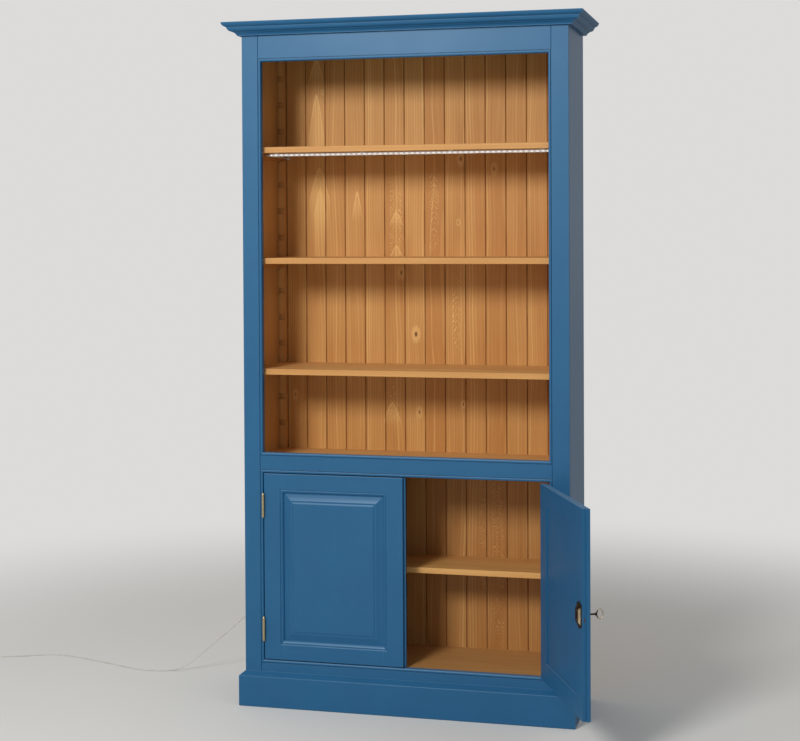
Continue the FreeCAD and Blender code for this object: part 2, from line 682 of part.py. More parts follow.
def hinge_halves(centre):
    """The frame half below, the door half above and the pin of one left-hand hinge."""
    axis = at(PIVOT_X, PIVOT_DEPTH, centre)
    half_l = HINGE_BARREL_L / 2
    waist = HINGE_R * 0.62
    tip = HINGE_R * 0.3
    finial = [
        (0, half_l), (HINGE_R, half_l), ((HINGE_R * 0.95, half_l + HINGE_FINIAL_L * 0.4),
                                         (waist, half_l + HINGE_FINIAL_L * 0.8)),
        (tip, half_l + HINGE_FINIAL_L), (0, half_l + HINGE_FINIAL_L),
    ]
    cap = outline_face(finial, lambda a, b: axis + ALONG_X * a + ALONG_Z * b).revolve(axis, ALONG_Z, 360)
    gap_left = -OPEN_X
    frame_leaf = (gap_left, gap_left + LEAF_T)
    door_leaf = (DOOR_HINGE_X - LEAF_T, DOOR_HINGE_X)
    halves = []
    for sign, leaf, clear in ((-1, frame_leaf, PIN_SEAT_CLEAR), (1, door_leaf, PIN_RUN_CLEAR)):
        near = sign * HINGE_SPLIT / 2
        far = sign * half_l
        barrel = rod(HINGE_R, axis + ALONG_Z * near, ALONG_Z * sign, half_l - HINGE_SPLIT / 2)
        z0, z1 = sorted((centre + near, centre + far))
        plate = block(leaf[0], leaf[1], PIVOT_DEPTH, LEAF_IN, z0, z1)
        end = cap if sign > 0 else cap.mirror(axis, ALONG_Z)
        bore_l = PIN_L / 2 + PIN_END_CLEAR
        bore = rod(PIN_R + clear, axis, ALONG_Z * sign, bore_l)
        halves.append(fuse_all([barrel, plate, end]).cut(bore).Solids[0])
    pin = rod(PIN_R, axis - ALONG_Z * (PIN_L / 2), ALONG_Z, PIN_L)
    return halves[0], halves[1], pin


def keyhole(depth0, depth1):
    """A round hole for the shank with a slot below it for the bit, through a span of depth."""
    hole = rod(KEY_SHANK_R + KEY_HOLE_CLEAR, at(LOCK_X, depth0, LOCK_Z), ALONG_Y, depth1 - depth0)
    half = KEY_BIT_T / 2 + KEY_HOLE_CLEAR
    low = LOCK_Z - KEY_BIT_L - KEY_HOLE_CLEAR
    return hole.fuse(block(LOCK_X - half, LOCK_X + half, depth0, depth1, low, LOCK_Z))


def bolt_slot(x0, x1, clear):
    top = LOCK_Z - BOLT_BELOW_KEY
    return block(x0, x1, BOLT_FRONT - clear, BOLT_FRONT + BOLT_T + clear, top - BOLT_H - clear, top + clear)


def lock():
    """Lock pieces for the mirrored door: they are modelled on the left, where the edge is at +X."""
    front = DOOR_T - CASE_D
    x0, x1 = LOCK_X - CASE_W / 2, LOCK_X + CASE_W / 2
    z0, z1 = LOCK_Z - CASE_H / 2, LOCK_Z + CASE_H / 2
    edge = DOOR_MEET_X - LAP
    case = block(x0, x1, front, DOOR_T, z0, z1)
    hollow = block(x0 + CASE_WALL, x1 - CASE_WALL, front + CASE_WALL, DOOR_T, z0 + CASE_WALL, z1 - CASE_WALL)
    passage = bolt_slot(x1 - CASE_WALL - REACH, edge + REACH, BOLT_RUN_CLEAR)
    case_shell = cut_all(case, [hollow, keyhole(front - REACH, front + CASE_WALL + REACH), passage])

    def hexagon(share, depth):
        w = LOCK_PLATE_W / 2 * share
        side = LOCK_PLATE_SIDE_H / 2 * share
        tip = LOCK_PLATE_TIP_H / 2 * share
        corners = [(-w, -side), (0, -tip), (w, -side), (w, side), (0, tip), (-w, side)]
        return outline_face(corners, lambda a, b: at(LOCK_X + a, depth, LOCK_Z + b))

    plate_back = DOOR_T + LOCK_PLATE_T
    plate = hexagon(1, DOOR_T).extrude(ALONG_Y * LOCK_PLATE_T)
    boss_faces = [hexagon(LOCK_BOSS_FOOT, plate_back), hexagon(LOCK_BOSS_TOP, plate_back + LOCK_BOSS_H)]
    boss = Part.makeLoft([face.OuterWire for face in boss_faces], True, True)
    bolt = bolt_slot(edge - BOLT_LEN, edge, 0)
    talon_top = LOCK_Z - BOLT_BELOW_KEY
    talon = block(
        LOCK_X - TALON_LAG, LOCK_X + TALON_LEAD, BOLT_FRONT - REACH, BOLT_FRONT + BOLT_T + REACH,
        talon_top - TALON_D, talon_top + REACH,
    )
    oval = Part.Ellipse(at(LOCK_X, 0, LOCK_Z - KEY_SHANK_R), ESCUTCHEON_H / 2, ESCUTCHEON_W / 2).toShape()
    oval.rotate(at(LOCK_X, 0, LOCK_Z - KEY_SHANK_R), ALONG_Z, 90)
    oval.rotate(at(LOCK_X, 0, LOCK_Z - KEY_SHANK_R), ALONG_X, 90)
    escutcheon = Part.Face(Part.Wire(oval)).extrude(-ALONG_Y * ESCUTCHEON_T)
    pieces = {
        "lock_case": case_shell.Solids[0],
        "lock_plate": fuse_all([plate, boss]),
        "lock_bolt": bolt.cut(talon).Solids[0],
        "keyhole_escutcheon": escutcheon.cut(keyhole(-REACH, REACH)).Solids[0],
        "key": key(),
    }
    return pieces, [case, passage, keyhole(-REACH, front + REACH)]


def bow_ring(depth):
    """The key's oval ring: a round wire along four tangent arcs, small ones at the top and foot."""
    tall = BOW_TALL / 2 - BOW_WIRE_R
    wide = BOW_WIDE / 2 - BOW_WIRE_R
    end_r = wide * BOW_END_ROUND
    rise = tall - end_r
    side_c = (rise ** 2 - (wide - end_r) ** 2) / (2 * (wide - end_r))
    reach = end_r / math.hypot(side_c, rise)
    join = (side_c * reach, rise + rise * reach)

    def place(a, b):
        return at(LOCK_X, depth + a, LOCK_Z + b)

    end_half = math.atan2(side_c, rise)
    side_half = math.pi / 2 - end_half
    arcs = [
        ((-side_c, 0), (join[0], -join[1]), 2 * side_half), ((0, rise), join, 2 * end_half),
        ((side_c, 0), (-join[0], join[1]), 2 * side_half), ((0, -rise), (-join[0], -join[1]), 2 * end_half),
    ]
    pieces = []
    for centre, start, angle in arcs:
        heading = place(start[1] - centre[1], centre[0] - start[0]) - place(0, 0)
        circle = Part.makeCircle(BOW_WIRE_R, place(*start), heading)
        circle.rotate(place(*start), heading, SEAM_TURN)
        section = Part.Face(Part.Wire(circle))
        pieces.append(section.revolve(place(*centre), ALONG_X, math.degrees(angle)))
    return fuse_all(pieces)


def key():
    """Shank, bit, collar and the ring bow by which the key is held."""
    tip = DOOR_T - CASE_WALL
    shank = rod(KEY_SHANK_R, at(LOCK_X, -KEY_OUT, LOCK_Z), ALONG_Y, KEY_OUT + tip)
    bit_front = BOLT_FRONT + (BOLT_T - KEY_BIT_D) / 2
    half = KEY_BIT_T / 2
    bit = block(LOCK_X - half, LOCK_X + half, bit_front, bit_front + KEY_BIT_D, LOCK_Z - KEY_BIT_L, LOCK_Z)
    collar = rod(COLLAR_R, at(LOCK_X, -KEY_OUT, LOCK_Z), ALONG_Y, COLLAR_L)
    bow = bow_ring(-KEY_OUT - BOW_WIDE / 2 + BOW_WIRE_R)
    return fuse_all([shank, bit, collar, bow])


def strike_pocket():
    """The hollow in the left door's edge that takes the thrown bolt."""
    edge = DOOR_MEET_X + LAP
    deep = BOLT_REACH - MEETING_GAP + 2 * STRIKE_CLEAR
    return bolt_slot(edge - deep, edge + REACH, STRIKE_CLEAR)


def strike_plate():
    edge = DOOR_MEET_X + LAP
    front = DOOR_T / 2 + LAP_CLEAR / 2 + PANEL_CLEAR
    middle = LOCK_Z - BOLT_BELOW_KEY - BOLT_H / 2
    return block(edge - STRIKE_T, edge, front, DOOR_T, middle - STRIKE_H / 2, middle + STRIKE_H / 2)


def slip_rod_depth():
    return DOOR_T + SLIP_PLATE_T + SLIP_ROD_R + SLIP_BORE_CLEAR


def slip_bolt():
    """Guide on the inner face of the left door's foot, and the rod that drops into the bottom board."""
    x = DOOR_MEET_X - SLIP_FROM_EDGE
    depth = slip_rod_depth()
    foot = DOOR_FOOT + SLIP_PLATE_UP
    plate = block(
        x - SLIP_PLATE_W / 2, x + SLIP_PLATE_W / 2, DOOR_T, DOOR_T + SLIP_PLATE_T, foot, foot + SLIP_PLATE_H,
    )
    guides = []
    for z in (foot, foot + SLIP_PLATE_H - SLIP_GUIDE_H):
        cheek = block(
            x - SLIP_GUIDE_W / 2, x + SLIP_GUIDE_W / 2, DOOR_T + SLIP_PLATE_T, depth, z, z + SLIP_GUIDE_H,
        )
        guides += [cheek, rod(SLIP_GUIDE_W / 2, at(x, depth, z), ALONG_Z, SLIP_GUIDE_H)]
    tip = DOOR_FOOT + SLIP_TIP_UP
    bore = rod(SLIP_ROD_R + SLIP_RUN_CLEAR, at(x, depth, foot - REACH), ALONG_Z, SLIP_PLATE_H + 2 * REACH)
    back_of_plate = block(
        x - SLIP_PLATE_W, x + SLIP_PLATE_W, 0, DOOR_T, foot - REACH, foot + SLIP_PLATE_H + REACH,
    )
    guide = fuse_all([plate] + guides).cut(bore).cut(back_of_plate)
    knob_z = foot + SLIP_PLATE_H - SLIP_GUIDE_H - SLIP_KNOB_R - SLIP_BORE_CLEAR
    knob = rod(SLIP_KNOB_R, at(x, depth, knob_z), ALONG_Y, SLIP_KNOB_L)
    knob_end = Part.makeSphere(SLIP_KNOB_R * 1.3, at(x, depth + SLIP_KNOB_L, knob_z))
    slip_rod = fuse_all([rod(SLIP_ROD_R, at(x, depth, tip), ALONG_Z, SLIP_ROD_L), knob, knob_end])
    return guide.Solids[0], slip_rod


def keep_bore(x, depth):
    radius = SLIP_ROD_R + SLIP_BORE_CLEAR
    deep = SLIP_REACH - SLIP_TIP_UP - (DOOR_FOOT - BOTTOM_TOP) + KEEP_T + SLIP_BORE_CLEAR
    return rod(radius, at(x, depth, BOTTOM_TOP - deep), ALONG_Z, deep + REACH)


def keep_plate(x, depth):
    low = BOTTOM_TOP - KEEP_T
    return block(x - KEEP_W / 2, x + KEEP_W / 2, depth - KEEP_D / 2, depth + KEEP_D / 2, low, BOTTOM_TOP)


def swing_open(shape):
    """A right door piece from its closed place to the way the door stands."""
    shape.rotate(at(-PIVOT_X, PIVOT_DEPTH, 0), ALONG_Z, RIGHT_DOOR_OPEN)
    return shape


def doors():
    left = door(LAP)
    right = door(-LAP)
    lock_pieces, lock_cutters = lock()
    right["meeting_stile"] = cut_all(right["meeting_stile"], lock_cutters).Solids[0]
    left["meeting_stile"] = cut_all(left["meeting_stile"], [strike_pocket(), strike_plate()]).Solids[0]
    guide, slip_rod = slip_bolt()
    pieces = {f"left_door_{name}": [shape] for name, shape in left.items()}
    pieces.update({f"right_door_{name}": [swing_open(mirrored(shape))] for name, shape in right.items()})
    pieces.update({name: [swing_open(mirrored(shape))] for name, shape in lock_pieces.items()})
    pieces["strike_plate"] = [strike_plate().cut(strike_pocket()).Solids[0]]
    pieces["slip_bolt_guide"] = [guide]
    pieces["slip_bolt_rod"] = [slip_rod]
    keep_x = DOOR_MEET_X - SLIP_FROM_EDGE
    pieces["slip_bolt_keep"] = [
        keep_plate(keep_x, slip_rod_depth()).cut(keep_bore(keep_x, slip_rod_depth())).Solids[0]
    ]
    stop_x = DOOR_MEET_X - STOP_FROM_EDGE
    pieces["door_stop"] = [block(
        stop_x - STOP_W / 2, stop_x + STOP_W / 2, DOOR_T + STOP_GAP, DOOR_T + STOP_GAP + STOP_T,
        MIDDLE_UNDERSIDE - STOP_H, MIDDLE_UNDERSIDE,
    )]
    return pieces


def hinges():
    frame_halves, pins, left_halves, right_halves = [], [], [], []
    for centre in HINGE_CENTRES:
        frame_half, door_half, pin = hinge_halves(centre)
        frame_halves += [frame_half, mirrored(frame_half)]
        pins += [pin, mirrored(pin)]
        left_halves.append(door_half)
        right_halves.append(swing_open(mirrored(door_half)))
    return {
        "hinge_frame_halves": frame_halves,
        "hinge_pins": pins,
        "left_door_hinge_halves": left_halves,
        "right_door_hinge_halves": right_halves,
    }


def swept_tube(radius, edges):
    wire = Part.Wire(edges)
    first = wire.Edges[0]
    direction = first.tangentAt(first.FirstParameter)
    section = Part.makeCircle(radius, first.valueAt(first.FirstParameter), direction)
    return wire.makePipeShell([Part.Wire(section)], True, False), wire.Length


def bent_path(points, bend=None):
    """Straight runs through the points, joined by tangent arcs; returns the edges and the radii."""
    edges, radii = [], []
    here = points[0]
    for before, corner, after in zip(points, points[1:], points[2:]):
        back = before - corner
        ahead = after - corner
        shorter = min(back.Length, ahead.Length)
        half_turn = (math.pi - back.getAngle(ahead)) / 2
        radius = bend or 0.45 * shorter / math.tan(half_turn)
        tangent = radius * math.tan(half_turn)
        start = corner + back.normalize() * tangent
        end = corner + ahead.normalize() * tangent
        bisector = (back + ahead).normalize()
        middle = corner + bisector * (radius / math.cos(half_turn) - radius)
        edges.append(Part.LineSegment(here, start).toShape())
        edges.append(Part.Arc(start, middle, end).toShape())
        radii.append(radius)
        here = end
    edges.append(Part.LineSegment(here, points[-1]).toShape())
    return edges, radii


def shelf_light():
    """Channel open to the front with its strip of diodes, hung on clips under the top shelf."""
    x = LIGHT_HALF_L
    low = LIGHT_TOP - CHANNEL_H
    front = LIGHT_DEPTH
    channel = block(-x, x, front, front + CHANNEL_D, low, LIGHT_TOP)
    mouth = block(
        -x + CHANNEL_WALL, x - CHANNEL_WALL, front - REACH, front + CHANNEL_D - CHANNEL_WALL,
        low + CHANNEL_WALL, LIGHT_TOP - CHANNEL_WALL,
    )
    strip_back = front + CHANNEL_D - CHANNEL_WALL
    strip_x = x - 2 * CHANNEL_WALL
    strip = [block(
        -strip_x, strip_x, strip_back - STRIP_D, strip_back, low + CHANNEL_WALL, LIGHT_TOP - CHANNEL_WALL,
    )]
    per_side = int((strip_x - DIODE_W) // DIODE_PITCH)
    mid = LIGHT_TOP - CHANNEL_H / 2
    strip += [
        block(
            i * DIODE_PITCH - DIODE_W / 2, i * DIODE_PITCH + DIODE_W / 2,
            strip_back - STRIP_D - DIODE_D, strip_back - STRIP_D, mid - DIODE_H / 2, mid + DIODE_H / 2,
        )
        for i in range(-per_side, per_side + 1)
    ]
    clip_span = 2 * x - 2 * LIGHT_INSET
    clips = []
    for i in range(LIGHT_CLIPS):
        centre = -clip_span / 2 + clip_span * i / (LIGHT_CLIPS - 1)
        x0, x1 = centre - LIGHT_CLIP_W / 2, centre + LIGHT_CLIP_W / 2
        clip = block(x0, x1, front, front + CHANNEL_D + LIGHT_CLIP_T, LIGHT_TOP, SHELF_1_UNDERSIDE)
        hook = block(x0, x1, front + CHANNEL_D, front + CHANNEL_D + LIGHT_CLIP_T, low, LIGHT_TOP)
        clips.append(fuse_all([clip, hook]))
    return {
        "light_channel": [channel.cut(mouth).Solids[0]],
        "light_strip": [fuse_all(strip)],
        "light_clips": clips,
    }


def lead_and_clips():
    """The lead that the bookcase holds: along the shelf, through the back and down it to the last clip."""
    depth = LIGHT_DEPTH + CHANNEL_D / 2
    first_top = LEAD_Z - FIRST_BACK_CLIP_DROP
    clip_pitch = (first_top - LAST_BACK_CLIP_TOP) / (BACK_CLIPS - 1)
    clip_tops = [first_top - i * clip_pitch for i in range(BACK_CLIPS)]
    last_foot = LAST_BACK_CLIP_TOP - BACK_CLIP_H
    points = [
        at(-LIGHT_HALF_L, depth, LEAD_Z), at(LEAD_X, depth, LEAD_Z), at(LEAD_X, LEAD_BACK, LEAD_Z),
        at(LEAD_X, LEAD_BACK, last_foot),
    ]
    lead, _ = swept_tube(LEAD_R, bent_path(points, LEAD_BEND)[0])
    inside = BACK_FACE - GROMMET_FLANGE_T
    outside = DEPTH - BACK_INSET
    start = at(LEAD_X, inside, LEAD_Z)
    grommet = fuse_all([
        rod(GROMMET_FLANGE_R, start, ALONG_Y, GROMMET_FLANGE_T),
        rod(GROMMET_R - LEAD_CLEAR, start, ALONG_Y, outside + GROMMET_FLANGE_T - inside),
        rod(GROMMET_FLANGE_R, at(LEAD_X, outside, LEAD_Z), ALONG_Y, GROMMET_FLANGE_T),
    ])
    grommet = grommet.cut(rod(LEAD_R + LEAD_CLEAR, start - ALONG_Y * REACH, ALONG_Y, 2 * (outside - inside)))
    clips = []
    for top in clip_tops:
        clip = block(
            LEAD_X - BACK_CLIP_W / 2, LEAD_X + BACK_CLIP_W / 2, outside, LEAD_BACK + LEAD_R + CHANNEL_WALL,
            top - BACK_CLIP_H, top,
        )
        bore = rod(LEAD_R + LEAD_CLEAR, at(LEAD_X, LEAD_BACK, top - BACK_CLIP_H), ALONG_Z, BACK_CLIP_H)
        clips.append(clip.cut(bore).Solids[0])
    return {"light_lead": [lead], "lead_grommet": [grommet.Solids[0]], "lead_clips": clips}


def mains_lead():
    """The free lead on its route to the coil of what is put away, and the plug beside the coil."""
    points = [FreeCAD.Vector(*point) for point in LEAD_ROUTE]
    edges, radii = bent_path(points)
    tube, length = swept_tube(LEAD_R, edges)
    section = math.pi * LEAD_R ** 2
    print("lead radii", [round(radius) for radius in radii])
    print("lead length", round(length, 1), "volume ratio", round(tube.Volume / (section * length), 4))
    inner = COIL_MEAN_R - COIL_WIDE * LEAD_R
    outer = COIL_MEAN_R + COIL_WIDE * LEAD_R
    high = COIL_HIGH * 2 * LEAD_R
    ease = LEAD_R * COIL_EASE
    near, far, upper = inner + ease, outer - ease, high - ease
    x, y = COIL_CENTRE
    outline = [
        (inner, ease), (near, 0), (far, 0), (outer, ease),
        (outer, upper), (far, high), (near, high), (inner, upper),
    ]
    section_face = outline_face(outline, lambda a, b: FreeCAD.Vector(x + a, y, b))
    coil = section_face.revolve(FreeCAD.Vector(x, y, 0), ALONG_Z, 360)
    return {"mains_lead": [tube], "mains_lead_coil": [coil], "plug": [plug()]}


def plug():
    """A flat two-pin plug on the floor, its strain relief towards the coil's outer turn."""
    coil_x, coil_y = COIL_CENTRE
    outer = COIL_MEAN_R + COIL_WIDE * LEAD_R
    x = coil_x - COIL_MEAN_R
    y = coil_y - math.sqrt(outer ** 2 - (COIL_MEAN_R - PLUG_NOSE_R) ** 2) - PLUG_RELIEF_GAP
    z = PLUG_T / 2
    relief = Part.makeCone(PLUG_NOSE_R, PLUG_NECK_R, PLUG_RELIEF_L, FreeCAD.Vector(x, y, z), -ALONG_Y)
    neck = y - PLUG_RELIEF_L
    end = neck - PLUG_L
    widest = neck - PLUG_L * 0.45
    shoulder, waist = PLUG_W * 0.3, PLUG_W * 0.44
    outline = [
        (x - shoulder, neck), (x + shoulder, neck), (x + PLUG_W / 2, widest),
        (x + waist, end), (x - waist, end), (x - PLUG_W / 2, widest),
    ]
    body = outline_face(outline, lambda a, b: FreeCAD.Vector(a, b, 0)).extrude(ALONG_Z * PLUG_T)
    pins = [
        rod(PLUG_PIN_R, FreeCAD.Vector(x + side * PLUG_PIN_SPACING / 2, end, z), -ALONG_Y, PLUG_PIN_L)
        for side in (-1, 1)
    ]
    return fuse_all([body, relief] + pins)


def main():
    os.makedirs("parts", exist_ok=True)
    nodes = {}
    for section in (
        carcass, back, face_frame, mouldings, shelving,
        doors, hinges, shelf_light, lead_and_clips, mains_lead,
    ):
        nodes.update(section())
    for name, solids in nodes.items():
        shape = solids[0] if len(solids) == 1 else Part.makeCompound(solids)
        shape.exportStep(f"parts/{name}.step")
    print(len(nodes), "nodes,", sum(len(solids) for solids in nodes.values()), "solids")


main()
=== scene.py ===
"""Painted pine bookcase with cabinet doors: look, free lead and studio around the CAD frame."""
import json
import math

import bmesh
import bpy
from mathutils import Matrix, Vector

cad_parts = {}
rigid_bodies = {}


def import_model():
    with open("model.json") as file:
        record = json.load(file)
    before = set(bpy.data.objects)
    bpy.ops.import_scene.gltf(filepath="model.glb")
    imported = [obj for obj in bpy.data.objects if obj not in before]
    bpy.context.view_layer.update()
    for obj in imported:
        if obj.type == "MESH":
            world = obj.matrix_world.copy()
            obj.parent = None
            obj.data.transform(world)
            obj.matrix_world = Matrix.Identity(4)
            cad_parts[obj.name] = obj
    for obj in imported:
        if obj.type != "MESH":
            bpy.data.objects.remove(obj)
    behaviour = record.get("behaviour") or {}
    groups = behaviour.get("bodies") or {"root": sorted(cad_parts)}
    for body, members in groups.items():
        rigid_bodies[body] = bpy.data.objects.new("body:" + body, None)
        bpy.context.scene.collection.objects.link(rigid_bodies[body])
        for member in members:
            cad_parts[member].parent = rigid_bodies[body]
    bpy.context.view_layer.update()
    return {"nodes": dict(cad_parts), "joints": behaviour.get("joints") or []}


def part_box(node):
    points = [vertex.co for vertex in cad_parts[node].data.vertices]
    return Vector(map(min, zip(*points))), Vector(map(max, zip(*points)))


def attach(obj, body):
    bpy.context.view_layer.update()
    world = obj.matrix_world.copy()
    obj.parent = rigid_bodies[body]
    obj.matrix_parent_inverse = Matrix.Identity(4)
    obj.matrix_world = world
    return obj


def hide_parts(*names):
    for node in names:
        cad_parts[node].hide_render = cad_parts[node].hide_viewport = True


for leftover in list(bpy.data.objects):
    bpy.data.objects.remove(leftover)

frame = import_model()
NODES = frame["nodes"]


# ---------------------------------------------------------------- sizes and places, in metres

def middle_of(name):
    """The middle of a CAD node's box."""
    low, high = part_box(name)
    return (low + high) / 2


# the doors
RIGHT_SWING = next(joint for joint in frame["joints"] if joint["name"] == "right_door_swing")
RIGHT_PIVOT = Vector((*RIGHT_SWING["pos_m"][:2], 0.0))
RIGHT_DOOR_TURN = math.radians(-RIGHT_SWING["range_deg"][0])
OPENED = (Matrix.Translation(RIGHT_PIVOT) @ Matrix.Rotation(RIGHT_DOOR_TURN, 4, "Z")
          @ Matrix.Translation(-RIGHT_PIVOT))
DOOR_FRONT_Y, DOOR_BACK_Y = (corner.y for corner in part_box("left_door_meeting_stile"))

# the wood
STAVE_W = 0.088
SIDE_STAVE_W = 0.095
BACK_BOARD_W = 0.0656
FULL_BACK_BOARDS = 14
PAINTED_FROM_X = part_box("side_panel_right")[0].x + 0.0005   # a side's inner face stays waxed
CUPBOARD_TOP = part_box("middle_board")[0].z + 0.006      # within the middle board
CUPBOARD_BLUR = 0.005
RING_SPACING = 0.0036
RING_ROUGHNESS = 0.0008
# the heart of each board's tree
HEART_DEPTH = 0.02              # how deep it lies, beyond the plane where the axis through the board is 0
HEART_DEPTH_SPREAD = 0.045      # how much that varies from board to board
HEART_SPREAD = 0.06             # how much its distance to one side varies
HEART_ASIDE = 0.7               # the least of that distance, as a share of its spread
HEART_WANDER = 0.024, 0.014     # its drift along the board, in depth and sideways
JOINT_FADE = 0.0034, 0.0010     # the soiling beside a V-joint, measured from it
HOLLOW_REACH = 0.016            # how near the wood opposite a hollow has to be for the painted shade in it
FINE_RELIEF = 0.0002
SCRATCH_RELIEF = 0.0001

# waves per metre, along the grain or the brush and across it
FIBRE_WAVES = 10.0, 900.0
STREAK_WAVES = 1.6, 150.0
ROUGH_WAVES = 4.0, 70.0
CURL_WAVES = 26.0, 60.0
PATCH_WAVES = 2.6, 14.0
BRUSH_WAVES = 7.0, 420.0
GROUP_WAVES = 90.0
STAIN_WAVES = 9.0
SCRATCH_WAVES = 60.0, 900.0

# knots, in shares of their size, and how much a step along the grain counts beside one across it
KNOT_SWIRL, KNOT_PUSH = 2.8, 0.55
KNOT_HALO = 1.5, 0.7
KNOT_HEART = 0.5, 0.12
KNOT_ALONG = 0.55
# height, place across, size, strength
BACK_KNOTS = (
    (1.687, 0.118, 0.012, 1.0), (1.654, 0.225, 0.011, 0.8), (1.487, 0.109, 0.006, 0.9),
    (1.328, -0.077, 0.012, 0.8), (1.132, -0.030, 0.013, 1.3), (0.884, -0.020, 0.010, 0.8),
    (0.912, 0.123, 0.007, 1.0), (0.932, -0.433, 0.009, 0.8), (1.908, -0.336, 0.005, 0.9),
)

# arches, where they fade out and where they are full: line and fill by level, figure by half width
ARCH_POWER = 1.5
ARCH_LINE = 0.3, 0.04
ARCH_FILL = 0.1, -0.5
ARCH_SIDES = 2.9, 2.2
ARCH_FOOT = 0.3                 # the full part of the reach
# tip height, middle, half width, height per unit of level, reach below the tip
BACK_ARCHES = (
    (1.896, -0.357, 0.0100, 0.036, 0.30), (2.010, -0.357, 0.0140, 0.030, 0.10),
    (1.662, -0.348, 0.0130, 0.026, 0.26), (1.596, -0.346, 0.0080, 0.020, 0.34),
    (1.582, -0.222, 0.0100, 0.040, 0.10), (1.517, -0.093, 0.0120, 0.016, 0.05),
    (1.412, -0.093, 0.0120, 0.016, 0.05), (0.910, -0.109, 0.0140, 0.022, 0.08),
)

# curls: how steeply they climb, and where they fade out and are full
CURL_POWER, CURL_CLIMB, CURL_WAVER = 1.3, 0.02, 0.07
CURL_SIDES = 1.25, 0.7
CURL_ENDS = 0.05
CURL_LINE = 0.15, 0.02
# middle, half width, lowest, highest, pitch
BACK_CURLS = (
    (0.232, 0.020, 0.13, 0.70, 0.013), (0.186, 0.014, 0.30, 0.70, 0.015),
    (-0.094, 0.022, 1.35, 1.64, 0.016), (0.030, 0.016, 1.38, 1.68, 0.018),
    (-0.104, 0.020, 0.84, 0.99, 0.016), (0.102, 0.014, 1.06, 1.34, 0.020),
)

# widths of the worn edges; on the paint they also get a painted highlight
PAINT_ARRIS = 0.0016
METAL_ARRIS = 0.0009

# the lock and its key, as they lie when the right door is shut
LOCK_X = 0.0361
LOCK_Z = middle_of("lock_plate").z
LOCK_SCREWS_UP = 0.0332
LOCK_RIVETS_UP = 0.0125
LOCK_RIDGE_X, LOCK_RIDGE_Z = 0.0208, 0.424
RIDGE_FADE_X = 0.0030, 0.0014   # from the ridge's middle: where the painted highlight ends, where it is full
RIDGE_FADE_Z = 0.0260, 0.0180
PLATE_T, COVER_T, ESCUTCHEON_T = 0.0015, 0.0085, 0.0012
ESCUTCHEON_Z = middle_of("keyhole_escutcheon").z
PINS_UP = 0.0122
STRIKE_SCREWS_UP = 0.0105
KEY_BOW_END = -0.1815
KEY_BOW_FADE = -0.0012, 0.0008

# the slip bolt, the hinges and the back
GUIDE_SCREWS_ACROSS, GUIDE_SCREWS_UP = 0.0092, 0.0255
HINGE_MIDDLES = 0.239, 0.620
LEAF_SCREW_Y = -0.1435
LEAF_SCREWS_UP = 0.009, 0.0235
FRAME_LEAF_X, DOOR_LEAF_X = 0.4429, 0.4426
NAIL_ROWS = [middle_of(board).z for board in ("bottom_board", "middle_board", "top_board")]
NAIL_OFF = 0.019

# heads of the small fasteners: radius, and how far they stand proud
HINGE_HEAD = 0.0026, 0.00006
LOCK_HEAD = 0.0021, 0.0004
RIVET_HEAD = 0.0023, 0.0011
PIN_HEAD = 0.0009, 0.0004
STRIKE_HEAD = 0.0017, 0.00006
GUIDE_HEAD = 0.0016, 0.0002
STOP_HEAD = 0.0030, 0.0001
NAIL_HEAD = 0.0019, 0.0004
SLOT_SHARE = 0.20               # a slot's width, as a share of its head's radius
SLOT_D = 0.0004
HEAD_BEVEL = 0.00012
HEAD_TOP = 0.9                  # a screw's flat top, as a share of its head's radius
HEAD_ROOT = 0.0012              # how deep it is let in
DOME_SHOULDER = 0.55            # the lower step of a nail's head, as a share of its height
DOME_TOP = 0.72                 # its upper step, as a share of its radius
NAIL_ROOT = 0.001
HEAD_SIDES, NAIL_SIDES, SLOT_ARC_STEPS = 20, 14, 12
FIRST_TURN, TURN_STEP = 0.7, 2.39996    # in radians, so that no two slots stand alike

# the shelf light
STRIP_Z = middle_of("light_strip").z
STRIP_FADE = 0.0027, 0.0013     # from the strip's middle: where it is dimmest, where it is full
DIODE_PITCH = 0.0167

# the free lead
LEAD_ROUTE = (
    (-0.454, 0.158, 0.420), (-0.454, 0.158, 0.391), (-0.465, 0.1582, 0.361), (-0.487, 0.158, 0.332),
    (-0.516, 0.157, 0.301), (-0.551, 0.1565, 0.262), (-0.590, 0.156, 0.222), (-0.632, 0.1565, 0.183),
    (-0.676, 0.157, 0.145), (-0.722, 0.1585, 0.105), (-0.768, 0.1615, 0.066), (-0.809, 0.1635, 0.032),
    (-0.846, 0.158, 0.008), (-0.886, 0.146, 0.0022), (-0.932, 0.137, 0.002), (-0.981, 0.136, 0.0021),
    (-1.034, 0.153, 0.002), (-1.091, 0.178, 0.0022), (-1.148, 0.198, 0.002), (-1.205, 0.219, 0.0021),
    (-1.262, 0.237, 0.002), (-1.310, 0.249, 0.0022), (-1.352, 0.249, 0.002), (-1.393, 0.232, 0.0021),
    (-1.437, 0.208, 0.002), (-1.484, 0.189, 0.0022), (-1.531, 0.176, 0.002), (-1.579, 0.173, 0.0021),
)
LEAD_TAIL = (
    (-1.6042, 0.147, 0.0042), (-1.6026, 0.1405, 0.0056), (-1.601, 0.134, 0.0068), (-1.601, 0.131, 0.0069),
)
LEAD_D = 0.004
COIL_X, COIL_Y = -1.579, 0.151
COIL_R = 0.0212
COIL_TURNS = 6.25
COIL_STRANDS = 7
COIL_RING = 0.0047              # from the middle of the bundle to the middle of a strand
COIL_STEPS = 16                 # points in each turn
COIL_START, STRAND_START = math.radians(90), math.radians(-75)

